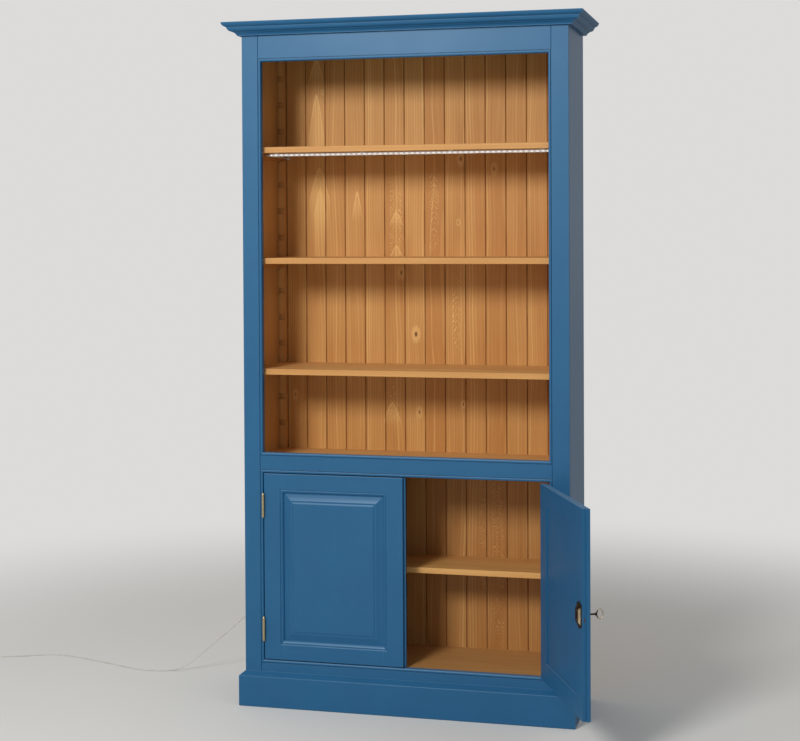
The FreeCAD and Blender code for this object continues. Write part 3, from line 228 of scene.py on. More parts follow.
# the studio
FLOOR_SIZE = 60
FLOOR_DROP = 0.0002
FLOOR_FADE = 1.3, 3.4           # where the floor begins to melt into the backdrop, where it has
LAMP_PLACE = (-1.124, -4.612, 3.17)
LAMP_TARGET = (0.0, 0.0, 1.3)
LAMP_SIZE = 1.3
LAMP_WATTS = 172
CAMERA_PLACE = (1.2133, -4.8865, 1.4698)
CAMERA_YAW, CAMERA_PITCH, CAMERA_ROLL = 0.252, -0.019, -0.005   # in radians
CAMERA_LENS_MM, CAMERA_SENSOR_MM = 73.36, 36.0
CAMERA_SHIFT_Y = -0.1393        # as a share of the picture's width
CAMERA_REACH = 100.0


# ---------------------------------------------------------------- shader graphs

def srgb(red, green, blue):
    """A colour given as 0-255 display values, as linear RGBA."""
    def linear(value):
        value /= 255
        return value / 12.92 if value <= 0.04045 else ((value + 0.055) / 1.055) ** 2.4
    return (linear(red), linear(green), linear(blue), 1.0)


# sockets of the colour form of the Mix node
MIX_SHARE, MIX_FIRST, MIX_SECOND, MIX_COLOUR = 0, 6, 7, 2


class Graph:
    """A node tree. Its methods add nodes and return their output sockets."""

    def __init__(self, owner):
        owner.use_nodes = True
        self.tree = owner.node_tree
        self.tree.nodes.clear()

    def node(self, kind, values=None, **settings):
        """A new node. values: what its inputs hold or are linked to."""
        node = self.tree.nodes.new("ShaderNode" + kind)
        for key, value in settings.items():
            setattr(node, key, value)
        for key, value in (values or {}).items():
            self.put(node.inputs[key], value)
        return node

    def put(self, socket, value):
        if isinstance(value, bpy.types.NodeSocket):
            self.tree.links.new(value, socket)
        else:
            socket.default_value = value

    def math(self, operation, *values, clamp=False):
        node = self.node("Math", dict(enumerate(values)), operation=operation, use_clamp=clamp)
        return node.outputs[0]

    def add(self, *terms):
        total = terms[0]
        for term in terms[1:]:
            total = self.math("ADD", total, term)
        return total

    def times(self, *factors):
        total = factors[0]
        for factor in factors[1:]:
            total = self.math("MULTIPLY", total, factor)
        return total

    def split(self, vector):
        return self.node("SeparateXYZ", {0: vector}).outputs

    def turned(self, vector, axes):
        """The vector's parts in the order of the letters in axes."""
        parts = dict(zip("xyz", self.split(vector)))
        return [parts[axis] for axis in axes]

    def join(self, x, y, z):
        return self.node("CombineXYZ", {0: x, 1: y, 2: z}).outputs[0]

    def noise(self, vector, scale, detail=2.0, roughness=0.5):
        values = {"Vector": vector, "Scale": scale, "Detail": detail, "Roughness": roughness}
        return self.node("TexNoise", values).outputs["Fac"]

    def line_noise(self, along, scale, detail=2.0, roughness=0.5):
        values = {"W": along, "Scale": scale, "Detail": detail, "Roughness": roughness}
        return self.node("TexNoise", values, noise_dimensions="1D").outputs["Fac"]

    def chance(self, number):
        """Three values from 0 to 1 that depend on the number alone."""
        colour = self.node("TexWhiteNoise", {"W": number}, noise_dimensions="1D").outputs["Color"]
        return self.node("SeparateColor", {0: colour}).outputs

    def ease(self, value, low, high, start=0.0, end=1.0):
        """start where value is low, end where it is high, smooth between and level beyond."""
        values = {"Value": value, "From Min": low, "From Max": high, "To Min": start, "To Max": end}
        return self.node("MapRange", values, interpolation_type="SMOOTHSTEP").outputs["Result"]

    def mix(self, share, first, second):
        """The first colour where share is 0, the second where it is 1."""
        values = {MIX_SHARE: share, MIX_FIRST: first, MIX_SECOND: second}
        return self.node("Mix", values, data_type="RGBA").outputs[MIX_COLOUR]

    def bump(self, height, distance, strength=1.0):
        return self.node("Bump", {"Height": height, "Distance": distance, "Strength": strength}).outputs[0]


class Shade(Graph):
    """A material's node tree."""

    def __init__(self, name):
        self.material = bpy.data.materials.new(name)
        super().__init__(self.material)
        self.place = self.node("TexCoord").outputs["Object"]

    def surface(self, colour, roughness, normal, **others):
        """The finished material. others: values of the shader's own sockets."""
        shader = self.node("BsdfPrincipled", {"Base Color": colour, "Roughness": roughness})
        self.put(shader.inputs["Normal"], normal)
        for key, value in others.items():
            shader.inputs[key.replace("_", " ")].default_value = value
        self.finish(shader.outputs[0])
        return self.material

    def finish(self, shader):
        self.put(self.node("OutputMaterial").inputs["Surface"], shader)
        return self.material


# ---------------------------------------------------------------- wood

GROUND = srgb(190, 131, 66)
LIGHT = srgb(230, 182, 112)
DEEP = srgb(112, 66, 30)
SHELF_GROUND = srgb(199, 144, 82)
SIDE_GROUND = srgb(198, 150, 90)
# lighter than the upper shelves: painted light, making up for the lamp's fall-off low in the cupboard
LOW_SHELF_LIT_GROUND = srgb(208, 152, 88)
# lighter than the other wood: painted light on the racks in the shaded corners
RACK_LIT_GROUND = srgb(204, 150, 86)
# pale top faces: rubbed wear, and painted light from above
WORN_LIT_TOP = srgb(232, 188, 126)
# how much painted shade darkens the cupboard's wood
CUPBOARD_SHADE = 0.3
SEED_STEP = 0.37                # keeps the seeds off whole numbers


def stretched(s, axes, waves):
    """Coordinates for noise drawn out along the first of the axes."""
    along, across, through = axes
    return s.join(s.times(along, waves[0]), s.times(across, waves[1]), s.times(through, waves[1]))


def knot_marks(s, along, across, lateral, knots):
    """Rings pushed aside round each knot, its pale halo and its dark heart."""
    dark, halo = 0.0, 0.0
    for knot_along, knot_across, size, power in knots:
        du = s.times(s.add(along, -knot_along), KNOT_ALONG)
        dv = s.add(across, -knot_across)
        away = s.math("SQRT", s.add(s.times(du, du), s.times(dv, dv)))
        swirl = s.ease(away, KNOT_SWIRL * size, 0.0, 0.0, power)
        lateral = s.add(lateral, s.times(swirl, KNOT_PUSH * size))
        halo = s.add(halo, s.times(s.ease(away, *(share * size for share in KNOT_HALO)), power))
        dark = s.add(dark, s.times(s.ease(away, *(share * size for share in KNOT_HEART)), power))
    return lateral, halo, dark


def arch_marks(s, along, across, arches):
    """Tall pointed arches where a flat-sawn board cuts its rings."""
    line, fill = 0.0, 0.0
    for tip, arch_across, wide, tall, reach in arches:
        dv = s.math("ABSOLUTE", s.times(s.add(across, -arch_across), 1 / wide))
        below = s.add(s.times(along, -1.0), tip)
        level = s.add(s.math("POWER", dv, ARCH_POWER), s.times(below, -1 / tall))
        fade = s.times(s.ease(below, reach, ARCH_FOOT * reach), s.ease(dv, *ARCH_SIDES))
        line = s.add(line, s.times(fade, s.ease(s.math("ABSOLUTE", level), *ARCH_LINE)))
        fill = s.add(fill, s.times(fade, s.ease(level, *ARCH_FILL)))
    return line, fill


def curl_marks(s, along, across, line, curls):
    """Short wavy chevrons, one over the other, added to a line mask."""
    for curl_across, wide, low, high, pitch in curls:
        dv = s.math("ABSOLUTE", s.times(s.add(across, -curl_across), 1 / wide))
        waver = s.noise(s.join(s.times(along, CURL_WAVES[0]), s.times(across, CURL_WAVES[1]), 2.0), 1.0)
        rise = s.times(s.math("POWER", dv, CURL_POWER), CURL_CLIMB)
        climb = s.add(along, rise, s.times(waver, CURL_WAVER))
        crest = s.math("ABSOLUTE", s.add(s.math("FRACT", s.times(climb, 1 / pitch)), -0.5))
        ends = s.times(s.ease(along, low, low + CURL_ENDS), s.ease(along, high, high - CURL_ENDS))
        fade = s.times(s.ease(dv, *CURL_SIDES), ends)
        line = s.add(line, s.times(fade, s.ease(waver, 0.35, 0.6), s.ease(crest, *CURL_LINE)))
    return line


def grain(s, axes, seed, boards=None, knots=(), arches=(), curls=(), joints=False):
    """Growth rings of sawn boards. axes: along the grain, across the face, through the board."""
    parts = s.turned(s.place, axes)
    along, across, through = parts
    if boards:
        number = s.math("FLOOR", s.times(across, 1 / boards))
        middle = s.times(s.add(number, 0.5), boards)
        own = s.chance(s.add(number, seed + SEED_STEP))
    else:
        number, middle = seed, 0.0
        own = s.chance(seed + SEED_STEP)
    slow = s.noise(s.join(s.times(along, 1.0), s.times(number, 3.1), s.times(own[2], 9.0)), 1.3, 2.0, 0.45)
    side = s.noise(s.join(s.times(along, 1.0), s.times(number, 5.3), 4.0), 1.7, 2.0, 0.4)
    depth = s.add(through, s.times(own[1], HEART_DEPTH_SPREAD), HEART_DEPTH,
                  s.times(s.add(slow, -0.5), HEART_WANDER[0]))
    lateral = s.add(across, s.times(middle, -1.0), s.times(s.add(own[0], HEART_ASIDE), -HEART_SPREAD),
                    s.times(s.add(side, -0.5), HEART_WANDER[1]))
    lateral, halo, dark = knot_marks(s, along, across, lateral, knots)
    arch_line, arch_fill = arch_marks(s, along, across, arches)
    arch_line = curl_marks(s, along, across, arch_line, curls)
    rings = s.math("SQRT", s.add(s.times(lateral, lateral), s.times(depth, depth)))
    rough = s.noise(stretched(s, parts, ROUGH_WAVES), 1.0)
    rings = s.add(rings, s.times(rough, RING_ROUGHNESS))
    phase = s.math("FRACT", s.times(rings, 1 / RING_SPACING))
    line = s.times(s.ease(phase, 0.35, 0.86), s.ease(phase, 1.0, 0.92))
    groups = s.line_noise(s.add(rings, s.times(number, 0.7)), GROUP_WAVES, 2.0, 0.6)
    fibre = s.noise(stretched(s, parts, FIBRE_WAVES), 1.0, 3.0, 0.6)
    streak = s.noise(stretched(s, parts, STREAK_WAVES), 1.0)
    patch_along, patch_across = s.times(along, PATCH_WAVES[0]), s.times(across, PATCH_WAVES[1])
    patch = s.noise(s.join(patch_along, patch_across, s.times(number, 2.0)), 1.0)
    joint = 0.0
    if joints:
        edge = s.math("ABSOLUTE", s.add(across, s.times(middle, -1.0)))
        stain = s.noise(s.join(s.times(along, STAIN_WAVES), s.times(number, 7.0), 1.0), 1.0)
        soil = s.ease(stain, 0.3, 0.7, 0.45, 1.0)
        joint = s.times(s.ease(edge, 0.5 * boards - JOINT_FADE[0], 0.5 * boards - JOINT_FADE[1]), soil)
    return {
        "joint": joint, "line": line, "groups": s.ease(groups, 0.42, 0.72), "fibre": fibre, "patch": patch,
        "streak": streak, "tone": own[0], "dark": dark, "halo": halo, "arch_line": arch_line,
        "arch_fill": arch_fill,
    }


def pine_colour(s, g, ground):
    """The board's ground colour, lighter in late rings and figure, darker at knots and joints."""
    share = s.add(
        s.times(g["line"], s.add(0.10, s.times(g["groups"], 0.42))),
        s.times(g["groups"], 0.1),
        s.times(g["halo"], 0.45),
        s.times(s.add(g["patch"], -0.5), 0.62),
        s.times(g["arch_line"], 0.95),
        s.times(g["arch_fill"], 0.34),
        s.times(s.add(g["tone"], -0.5), 0.34),
        s.times(s.add(g["streak"], -0.5), 0.26),
        0.10,
    )
    colour = s.mix(s.math("MULTIPLY", share, 1.0, clamp=True), ground, LIGHT)
    shade = s.add(s.times(g["fibre"], 0.22), s.times(s.ease(g["patch"], 0.45, 0.2), 0.12))
    colour = s.mix(shade, colour, DEEP)
    colour = s.mix(s.times(g["joint"], 0.8), colour, DEEP)
    return s.mix(s.math("MULTIPLY", g["dark"], 0.85, clamp=True), colour, DEEP)


def cupboard_painted_shade(s, colour):
    """Painted shade: the wood darkened on every face that lies lower than the cupboard's top."""
    z = s.split(s.place)[2]
    share = s.ease(z, CUPBOARD_TOP + CUPBOARD_BLUR, CUPBOARD_TOP - CUPBOARD_BLUR, 0.0, CUPBOARD_SHADE)
    return s.mix(share, colour, DEEP)


def pine(name, axes, seed, ground=GROUND, worn_and_lit_top=0.0, hollow_shade=0.0, cupboard=False, **marks):
    """Waxed pine. The worn-top and hollow amounts: how far top faces are made pale, by rubbing and painted
    light from above, and notches darkened by painted shade.
    """
    s = Shade(name)
    g = grain(s, axes, seed, **marks)
    colour = pine_colour(s, g, ground)
    # top faces made pale: patchy rubbed wear, and painted light from above
    if worn_and_lit_top:
        upward = s.split(s.node("NewGeometry").outputs["Normal"])[2]
        rubbed = s.times(s.ease(upward, 0.6, 0.95), s.ease(g["patch"], 0.2, 0.6, 0.6, 1.0))
        colour = s.mix(s.times(rubbed, worn_and_lit_top), colour, WORN_LIT_TOP)
    # painted shade on the faces below the cupboard's top
    if cupboard:
        colour = cupboard_painted_shade(s, colour)
    # painted shade in hollows such as the racks' notches
    if hollow_shade:
        depth = s.node("AmbientOcclusion", {"Distance": HOLLOW_REACH}, samples=6).outputs["AO"]
        colour = s.mix(s.times(s.ease(depth, 0.85, 0.4), hollow_shade), colour, DEEP)
    height = s.add(s.times(g["line"], 0.4), s.times(g["fibre"], 0.6))
    roughness = s.add(0.46, s.times(g["fibre"], 0.16))
    return s.surface(colour, roughness, s.bump(height, FINE_RELIEF, 0.5), Specular_IOR_Level=0.3)


# ---------------------------------------------------------------- paint, metal and plastic

PAINT = srgb(20, 86, 129)
# lighter blue for worn paint and for the painted highlight on arrises
PAINT_WORN_AND_HIGHLIGHT = srgb(70, 120, 158)
PAINT_DEEP = srgb(14, 62, 104)
# the painted highlight on upward slopes
PAINT_UPWARD_HIGHLIGHT = srgb(128, 164, 196)
PAINT_GLOSS = (0.64, 0.85, 1.0, 1.0)
# the painted highlight down the lock cover's ridge
RIDGE_HIGHLIGHT_BRONZE = srgb(214, 196, 166)
# the key's darker shank
SHANK_DARK = srgb(58, 46, 38)


def closed_place(s):
    """Where a point of the open right door would be with that door shut."""
    values = {"Vector": s.place, "Center": RIGHT_PIVOT, "Angle": -RIGHT_DOOR_TURN}
    return s.node("VectorRotate", values, rotation_type="Z_AXIS").outputs[0]


def arris(s, radius):
    """1 on sharp outer edges, 0 on flats: how far the rounded normal leaves the face's own."""
    soft = s.node("Bevel", {"Radius": radius}, samples=6).outputs[0]
    flat = s.node("NewGeometry").outputs["Normal"]
    same = s.node("VectorMath", {0: soft, 1: flat}, operation="DOT_PRODUCT").outputs["Value"]
    return s.ease(same, 0.999, 0.93)


def painted(s, place, axes, upward_highlight=0.0):
    """Satin paint brushed along the board, worn thin on its arrises, with a painted highlight there and on
    its upward slopes.
    """
    brush = s.noise(stretched(s, s.turned(place, axes), BRUSH_WAVES), 1.0, 3.0, 0.6)
    cloud = s.noise(place, 5.0, 3.0, 0.6)
    speck = s.noise(place, 160.0)
    handled = s.ease(s.noise(place, 24.0, 3.0, 0.65), 0.25, 0.7, 0.35, 1.0)
    # the arrises: worn paint, and a painted highlight along them
    worn_and_highlit = s.times(arris(s, PAINT_ARRIS), handled)
    colour = s.mix(s.ease(cloud, 0.3, 0.75, 0.0, 0.2), PAINT, PAINT_DEEP)
    colour = s.mix(s.ease(brush, 0.35, 0.8, 0.0, 0.07), colour, PAINT_WORN_AND_HIGHLIGHT)
    colour = s.mix(s.times(worn_and_highlit, 0.4), colour, PAINT_WORN_AND_HIGHLIGHT)
    # painted highlight: upward-facing slopes made lighter, most of all at their arrises
    upward = s.split(s.node("NewGeometry").outputs["Normal"])[2]
    ledge_highlight = s.times(s.ease(upward, 0.15, 0.6), s.add(s.times(worn_and_highlit, 0.5), upward_highlight))
    colour = s.mix(ledge_highlight, colour, PAINT_UPWARD_HIGHLIGHT)
    height = s.add(s.times(brush, 0.7), s.times(speck, 0.3))
    roughness = s.add(0.45, s.times(cloud, 0.08), s.times(brush, 0.05))
    return colour, roughness, s.bump(height, FINE_RELIEF, 0.35)


def paint(name, axes, turned=False, upward_highlight=0.3):
    """Blue paint. turned: for the open door, whose brush strokes turned with it."""
    s = Shade(name)
    place = closed_place(s) if turned else s.place
    colour, roughness, normal = painted(s, place, axes, upward_highlight)
    return s.surface(colour, roughness, normal, Specular_IOR_Level=0.54, Specular_Tint=PAINT_GLOSS,
                     Coat_Weight=0.07, Coat_Roughness=0.24)


def side_panel(name, outward, seed):
    """A pine side board: painted on its outer face, waxed inside."""
    s = Shade(name)
    blue, _, normal = painted(s, s.place, "zyx")
    g = grain(s, "zyx", seed, boards=SIDE_STAVE_W)
    wood = cupboard_painted_shade(s, pine_colour(s, g, SIDE_GROUND))
    x = s.split(s.place)[0]
    outer = s.math("GREATER_THAN", s.times(x, outward), PAINTED_FROM_X)
    colour = s.mix(outer, wood, blue)
    roughness = s.add(0.42, s.times(outer, -0.06))
    return s.surface(colour, roughness, normal, Specular_IOR_Level=0.45)


def metal(name, bright, dull, roughness, tarnish=0.5, across="y", ridge_highlight=False, dark_shank=False):
    """Worn metal: tarnished in spots, bright on its edges and finely scratched across one axis."""
    s = Shade(name)
    spots = s.noise(s.place, 210.0, 4.0, 0.6)
    low, high = SCRATCH_WAVES
    parts = zip("xyz", s.split(s.place))
    scratched = [s.times(part, high if axis == across else low) for axis, part in parts]
    scratch = s.noise(s.join(*scratched), 1.0)
    rubbed = arris(s, METAL_ARRIS)
    share = s.add(s.ease(spots, 0.25, 0.8, 0.3 * tarnish, tarnish), s.times(rubbed, -0.5))
    colour = s.mix(s.math("MULTIPLY", share, 1.0, clamp=True), bright, dull)
    # the shank darker than the bow, from the bow's end towards the door
    if dark_shank:
        y = s.split(closed_place(s))[1]
        shank = s.ease(y, *(KEY_BOW_END + off for off in KEY_BOW_FADE))
        colour = s.mix(shank, colour, SHANK_DARK)
    # painted highlight: a lighter strip down the middle of the lock cover's ridge
    if ridge_highlight:
        x, _, z = s.split(closed_place(s))
        off_x = s.math("ABSOLUTE", s.add(x, -LOCK_RIDGE_X))
        off_z = s.math("ABSOLUTE", s.add(z, -LOCK_RIDGE_Z))
        ridge = s.times(s.ease(off_x, *RIDGE_FADE_X), s.ease(off_z, *RIDGE_FADE_Z))
        colour = s.mix(s.times(ridge, s.ease(spots, 0.3, 0.6, 0.85, 0.5)), colour, RIDGE_HIGHLIGHT_BRONZE)
    rough = s.add(roughness, s.times(spots, 0.12), s.times(scratch, 0.08))
    return s.surface(colour, rough, s.bump(scratch, SCRATCH_RELIEF, 0.4), Metallic=1.0)


def plastic(name, colour_a, colour_b, roughness=0.4):
    """Matt moulded plastic, faintly uneven in tone."""
    s = Shade(name)
    fine = s.noise(s.place, 900.0)
    cloud = s.noise(s.place, 30.0)
    colour = s.mix(s.ease(cloud, 0.3, 0.7), colour_a, colour_b)
    return s.surface(colour, s.add(roughness, s.times(fine, 0.15)), s.bump(fine, SCRATCH_RELIEF, 0.3))


def light_strip_material():
    """The lit strip: brighter over each diode, and dimmer towards its upper and lower edges."""
    s = Shade("light_strip_lit")
    x, _, z = s.split(s.place)
    phase = s.math("ABSOLUTE", s.add(s.math("FRACT", s.times(x, 1 / DIODE_PITCH)), -0.5))
    middle = s.ease(s.math("ABSOLUTE", s.add(z, -STRIP_Z)), *STRIP_FADE, 0.4, 1.0)
    spot = s.ease(phase, 0.04, 0.42)
    colour = s.mix(spot, srgb(236, 220, 208), srgb(255, 249, 243))
    values = {"Base Color": srgb(120, 112, 106), "Roughness": 0.4, "Emission Color": colour}
    shader = s.node("BsdfPrincipled", values)
    s.put(shader.inputs["Emission Strength"], s.times(middle, s.add(0.62, s.times(spot, 0.24))))
    return s.finish(shader.outputs[0])


# ---------------------------------------------------------------- which node wears what

PAINT_UP = paint("blue_paint_upright", "zxy")
PAINT_ACROSS = paint("blue_paint_across", "xzy")
PAINT_MOULDED = paint("blue_paint_mouldings", "xzy", upward_highlight=0.0)
PAINT_OPEN_UP = paint("blue_paint_open_door_upright", "zxy", turned=True)
PAINT_OPEN_ACROSS = paint("blue_paint_open_door_across", "xzy", turned=True)
BACK = pine(
    "pine_back_boards", "zxy", 3.0, cupboard=True, boards=BACK_BOARD_W, knots=BACK_KNOTS, arches=BACK_ARCHES,
    curls=BACK_CURLS, joints=True,
)
SHELF = pine("pine_shelf", "xyz", 11.0, SHELF_GROUND, worn_and_lit_top=0.4, boards=STAVE_W)
FLOOR_BOARD = pine(
    "pine_cupboard_floor", "xyz", 11.0, SHELF_GROUND, worn_and_lit_top=0.25, cupboard=True, boards=STAVE_W,
)
LOW_SHELF = pine("pine_low_shelf", "xyz", 14.0, LOW_SHELF_LIT_GROUND, boards=STAVE_W)
RACK = pine("pine_rack", "zxy", 17.0, RACK_LIT_GROUND, hollow_shade=0.45)
BAR = pine("pine_bar", "yxz", 19.0)
BASE_RAIL = pine("pine_rail", "xzy", 23.0)
BEARER = pine("pine_bearer", "yzx", 29.0)
BRASS = metal("hinge_brass", srgb(200, 184, 146), srgb(122, 104, 72), 0.3)
AGED_BRASS = metal("lock_screw_brass", srgb(178, 164, 138), srgb(84, 72, 56), 0.28, 0.7)
KEY_LOOK = metal("key_bronze", srgb(226, 216, 192), srgb(142, 126, 98), 0.3, 0.6, dark_shank=True)
LOCK_BRASS = metal("lock_bronze", srgb(130, 108, 84), srgb(36, 27, 22), 0.3, 0.95, "x")
LOCK_PLATE = metal(
    "lock_plate_bronze", srgb(104, 84, 64), srgb(34, 26, 21), 0.34, 0.95, "x", ridge_highlight=True,
)
STEEL = metal("bolt_steel", srgb(176, 176, 172), srgb(98, 94, 88), 0.28)
WHITE = plastic("white_plastic", srgb(232, 230, 224), srgb(224, 222, 214))
ALUMINIUM = metal("channel_aluminium", srgb(206, 206, 204), srgb(160, 160, 158), 0.34, 0.3, "z")
LEAD = plastic("lead_plastic", srgb(206, 205, 200), srgb(196, 194, 188), 0.45)
STRIP = light_strip_material()
SIDES = {
    "side_panel_left": side_panel("pine_side_left", -1, 47.0),
    "side_panel_right": side_panel("pine_side_right", 1, 31.0),
}

FINISH = {
    PAINT_UP: [
        "stile_left", "stile_right", "left_door_hinge_stile", "left_door_meeting_stile", "left_door_panel",
    ],
    PAINT_ACROSS: [
        "frieze_rail", "middle_rail", "bottom_rail", "upper_bead", "lower_bead", "left_door_top_rail",
        "left_door_bottom_rail", "door_stop",
    ],
    PAINT_MOULDED: ["cornice_front", "cornice_returns", "plinth_front", "plinth_returns", "top_board"],
    PAINT_OPEN_UP: ["right_door_hinge_stile", "right_door_meeting_stile", "right_door_panel"],
    PAINT_OPEN_ACROSS: ["right_door_top_rail", "right_door_bottom_rail"],
    BACK: ["back_boards"],
    SHELF: ["upper_shelf_1", "upper_shelf_2", "upper_shelf_3", "middle_board"],
    FLOOR_BOARD: ["bottom_board"],
    LOW_SHELF: ["lower_shelf"],
    RACK: ["upper_racks", "lower_racks"],
    BAR: ["shelf_bars"],
    BASE_RAIL: ["rear_base_rail"],
    BEARER: ["centre_bearer"],
    BRASS: [
        "hinge_frame_halves", "hinge_pins", "left_door_hinge_halves", "right_door_hinge_halves",
        "keyhole_escutcheon",
    ],
    KEY_LOOK: ["key"],
    LOCK_BRASS: ["lock_bolt", "strike_plate"],
    LOCK_PLATE: ["lock_plate"],
    STEEL: ["lock_case", "slip_bolt_guide", "slip_bolt_rod", "slip_bolt_keep"],
    WHITE: ["light_clips", "lead_grommet", "lead_clips", "plug"],
    ALUMINIUM: ["light_channel"],
    LEAD: ["light_lead", "mains_lead", "mains_lead_coil"],
    STRIP: ["light_strip"],
}
for node_name, look in SIDES.items():
    FINISH[look] = [node_name]
for look, names in FINISH.items():
    for node_name in names:
        mesh = NODES[node_name].data
        mesh.materials.clear()
        mesh.materials.append(look)


# ---------------------------------------------------------------- the free lead

def coil_points():
    """Turns that lie round each other a diameter apart, like the strands of a rope."""
    # the spline runs inside its control points by this share
    shrink = 0.5 * (1 + math.cos(math.pi / COIL_STEPS))
    points = []
    for step in range(1, int(COIL_TURNS * COIL_STEPS)):
        turn = step / COIL_STEPS
        angle = COIL_START + turn * 2 * math.pi
        around = STRAND_START - turn * 2 * math.pi / COIL_STRANDS
        radius = COIL_R + COIL_RING * math.cos(around)
        height = LEAD_D / 2 + COIL_RING * (1 + math.sin(around))
        wide = radius / shrink
        points.append((COIL_X + wide * math.cos(angle), COIL_Y + wide * math.sin(angle), height))
    return points


def free_lead():
    """The mains lead from its last clip down to the floor, along it, and wound up beside the plug."""
    points = [*LEAD_ROUTE, *coil_points(), *LEAD_TAIL]
    curve = bpy.data.curves.new("mains_lead_line", "CURVE")
    curve.dimensions = "3D"
    curve.bevel_depth = LEAD_D / 2
    curve.bevel_resolution = 4
    curve.resolution_u = 8
    curve.use_fill_caps = True
    spline = curve.splines.new("NURBS")
    spline.points.add(len(points) - 1)
    for control, point in zip(spline.points, points):
        control.co = (*point, 1.0)
    spline.order_u = 3
    spline.use_endpoint_u = True
    lead = bpy.data.objects.new("mains_lead_free", curve)
    bpy.context.scene.collection.objects.link(lead)
    curve.materials.append(LEAD)
    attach(lead, "carcass")
    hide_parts("mains_lead", "mains_lead_coil")


free_lead()


# ---------------------------------------------------------------- screws and nails

def facing(place, normal, turn):
    """A matrix that stands a piece modelled on the XY plane on a face, turned about its normal."""
    normal = Vector(normal)
    side = normal.orthogonal().normalized()
    basis = Matrix((side, normal.cross(side), normal)).transposed().to_4x4()
    return Matrix.Translation(place) @ basis @ Matrix.Rotation(turn, 4, "Z")


def prism(mesh, outline, low, high, matrix):
    """A straight-sided block over an outline of (x, y) points."""
    rings = [[mesh.verts.new(matrix @ Vector((x, y, z))) for x, y in outline] for z in (low, high)]
    mesh.faces.new(list(reversed(rings[0])))
    mesh.faces.new(rings[1])
    for i in range(len(outline)):
        j = (i + 1) % len(outline)
        mesh.faces.new((rings[0][i], rings[0][j], rings[1][j], rings[1][i]))


def circle(radius, sides):
    """Points round a circle."""
    angles = [2 * math.pi * i / sides for i in range(sides)]
    return [(radius * math.cos(a), radius * math.sin(a)) for a in angles]


def screw_head(mesh, matrix, radius, proud):
    """A countersunk screw's head: a disc, and on it two half-rounds with the slot between them."""
    prism(mesh, circle(radius, HEAD_SIDES), -HEAD_ROOT, proud - SLOT_D, matrix)
    start = math.asin(SLOT_SHARE / 2)
    for flip in (1, -1):
        arc = [start + (math.pi - 2 * start) * i / SLOT_ARC_STEPS for i in range(SLOT_ARC_STEPS + 1)]
        rim = [(radius * math.cos(a), flip * radius * math.sin(a)) for a in arc]
        inner = [(HEAD_TOP * x, HEAD_TOP * y if abs(y) > radius * SLOT_SHARE else y) for x, y in rim]
        order = slice(None, None, flip)
        prism(mesh, rim[order], proud - SLOT_D, proud - HEAD_BEVEL, matrix)
        prism(mesh, inner[order], proud - HEAD_BEVEL, proud, matrix)


def round_head(mesh, matrix, radius, proud):
    """A nail's head: a low dome in two steps."""
    shoulder = DOME_SHOULDER * proud
    prism(mesh, circle(radius, NAIL_SIDES), -NAIL_ROOT, shoulder, matrix)
    prism(mesh, circle(DOME_TOP * radius, NAIL_SIDES), shoulder, proud, matrix)


def piece_from(mesh, name, body, look):
    """An object of the mesh, riding on a body."""
    data = bpy.data.meshes.new(name)
    mesh.to_mesh(data)
    mesh.free()
    data.materials.append(look)
    piece = bpy.data.objects.new(name, data)
    bpy.context.scene.collection.objects.link(piece)
    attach(piece, body)


def heads(name, body, look, build, head, places, moved=Matrix.Identity(4)):
    """One piece of all the heads at the places, each a point and the direction that it faces."""
    mesh = bmesh.new()
    for number, (place, normal) in enumerate(places):
        build(mesh, moved @ facing(place, normal, FIRST_TURN + TURN_STEP * number), *head)
    piece_from(mesh, name, body, look)


def leaf_screws(x, facing_x, side):
    """Two screws in each leaf, above or below the middle of its hinge."""
    return [((x, LEAF_SCREW_Y, middle + side * up), (facing_x, 0, 0))
            for middle in HINGE_MIDDLES for up in LEAF_SCREWS_UP]


def hinge_screws():
    """Screws of the frame's leaves, and of each door's."""
    frame_places = leaf_screws(-FRAME_LEAF_X, 1, -1) + leaf_screws(FRAME_LEAF_X, -1, -1)
    heads("frame_hinge_screws", "carcass", BRASS, screw_head, HINGE_HEAD, frame_places)
    left_places = leaf_screws(-DOOR_LEAF_X, -1, 1)
    heads("left_hinge_screws", "left_door", BRASS, screw_head, HINGE_HEAD, left_places)
    right_places = leaf_screws(DOOR_LEAF_X, 1, 1)
    heads("right_hinge_screws", "right_door", BRASS, screw_head, HINGE_HEAD, right_places, OPENED)


def lock_fasteners():
    """Screws and rivets of the lock, pins of its escutcheon and screws of the strike."""
    plate_y, cover_y = DOOR_BACK_Y + PLATE_T, DOOR_BACK_Y + COVER_T
    screws = [((LOCK_X, plate_y, LOCK_Z + side * LOCK_SCREWS_UP), (0, 1, 0)) for side in (-1, 1)]
    heads("lock_plate_screws", "right_door", AGED_BRASS, screw_head, LOCK_HEAD, screws, OPENED)
    rivets = [((LOCK_X, cover_y, LOCK_Z + side * LOCK_RIVETS_UP), (0, 1, 0)) for side in (-1, 1)]
    heads("lock_plate_rivets", "right_door", AGED_BRASS, round_head, RIVET_HEAD, rivets, OPENED)
    escutcheon_y = DOOR_FRONT_Y - ESCUTCHEON_T
    pins = [((LOCK_X, escutcheon_y, ESCUTCHEON_Z + side * PINS_UP), (0, -1, 0)) for side in (-1, 1)]
    heads("escutcheon_pins", "right_door", BRASS, round_head, PIN_HEAD, pins, OPENED)
    middle = middle_of("strike_plate")
    face_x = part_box("strike_plate")[1].x
    strike = [((face_x, middle.y, middle.z + side * STRIKE_SCREWS_UP), (1, 0, 0)) for side in (-1, 1)]
    heads("strike_screws", "left_door", BRASS, screw_head, STRIKE_HEAD, strike)


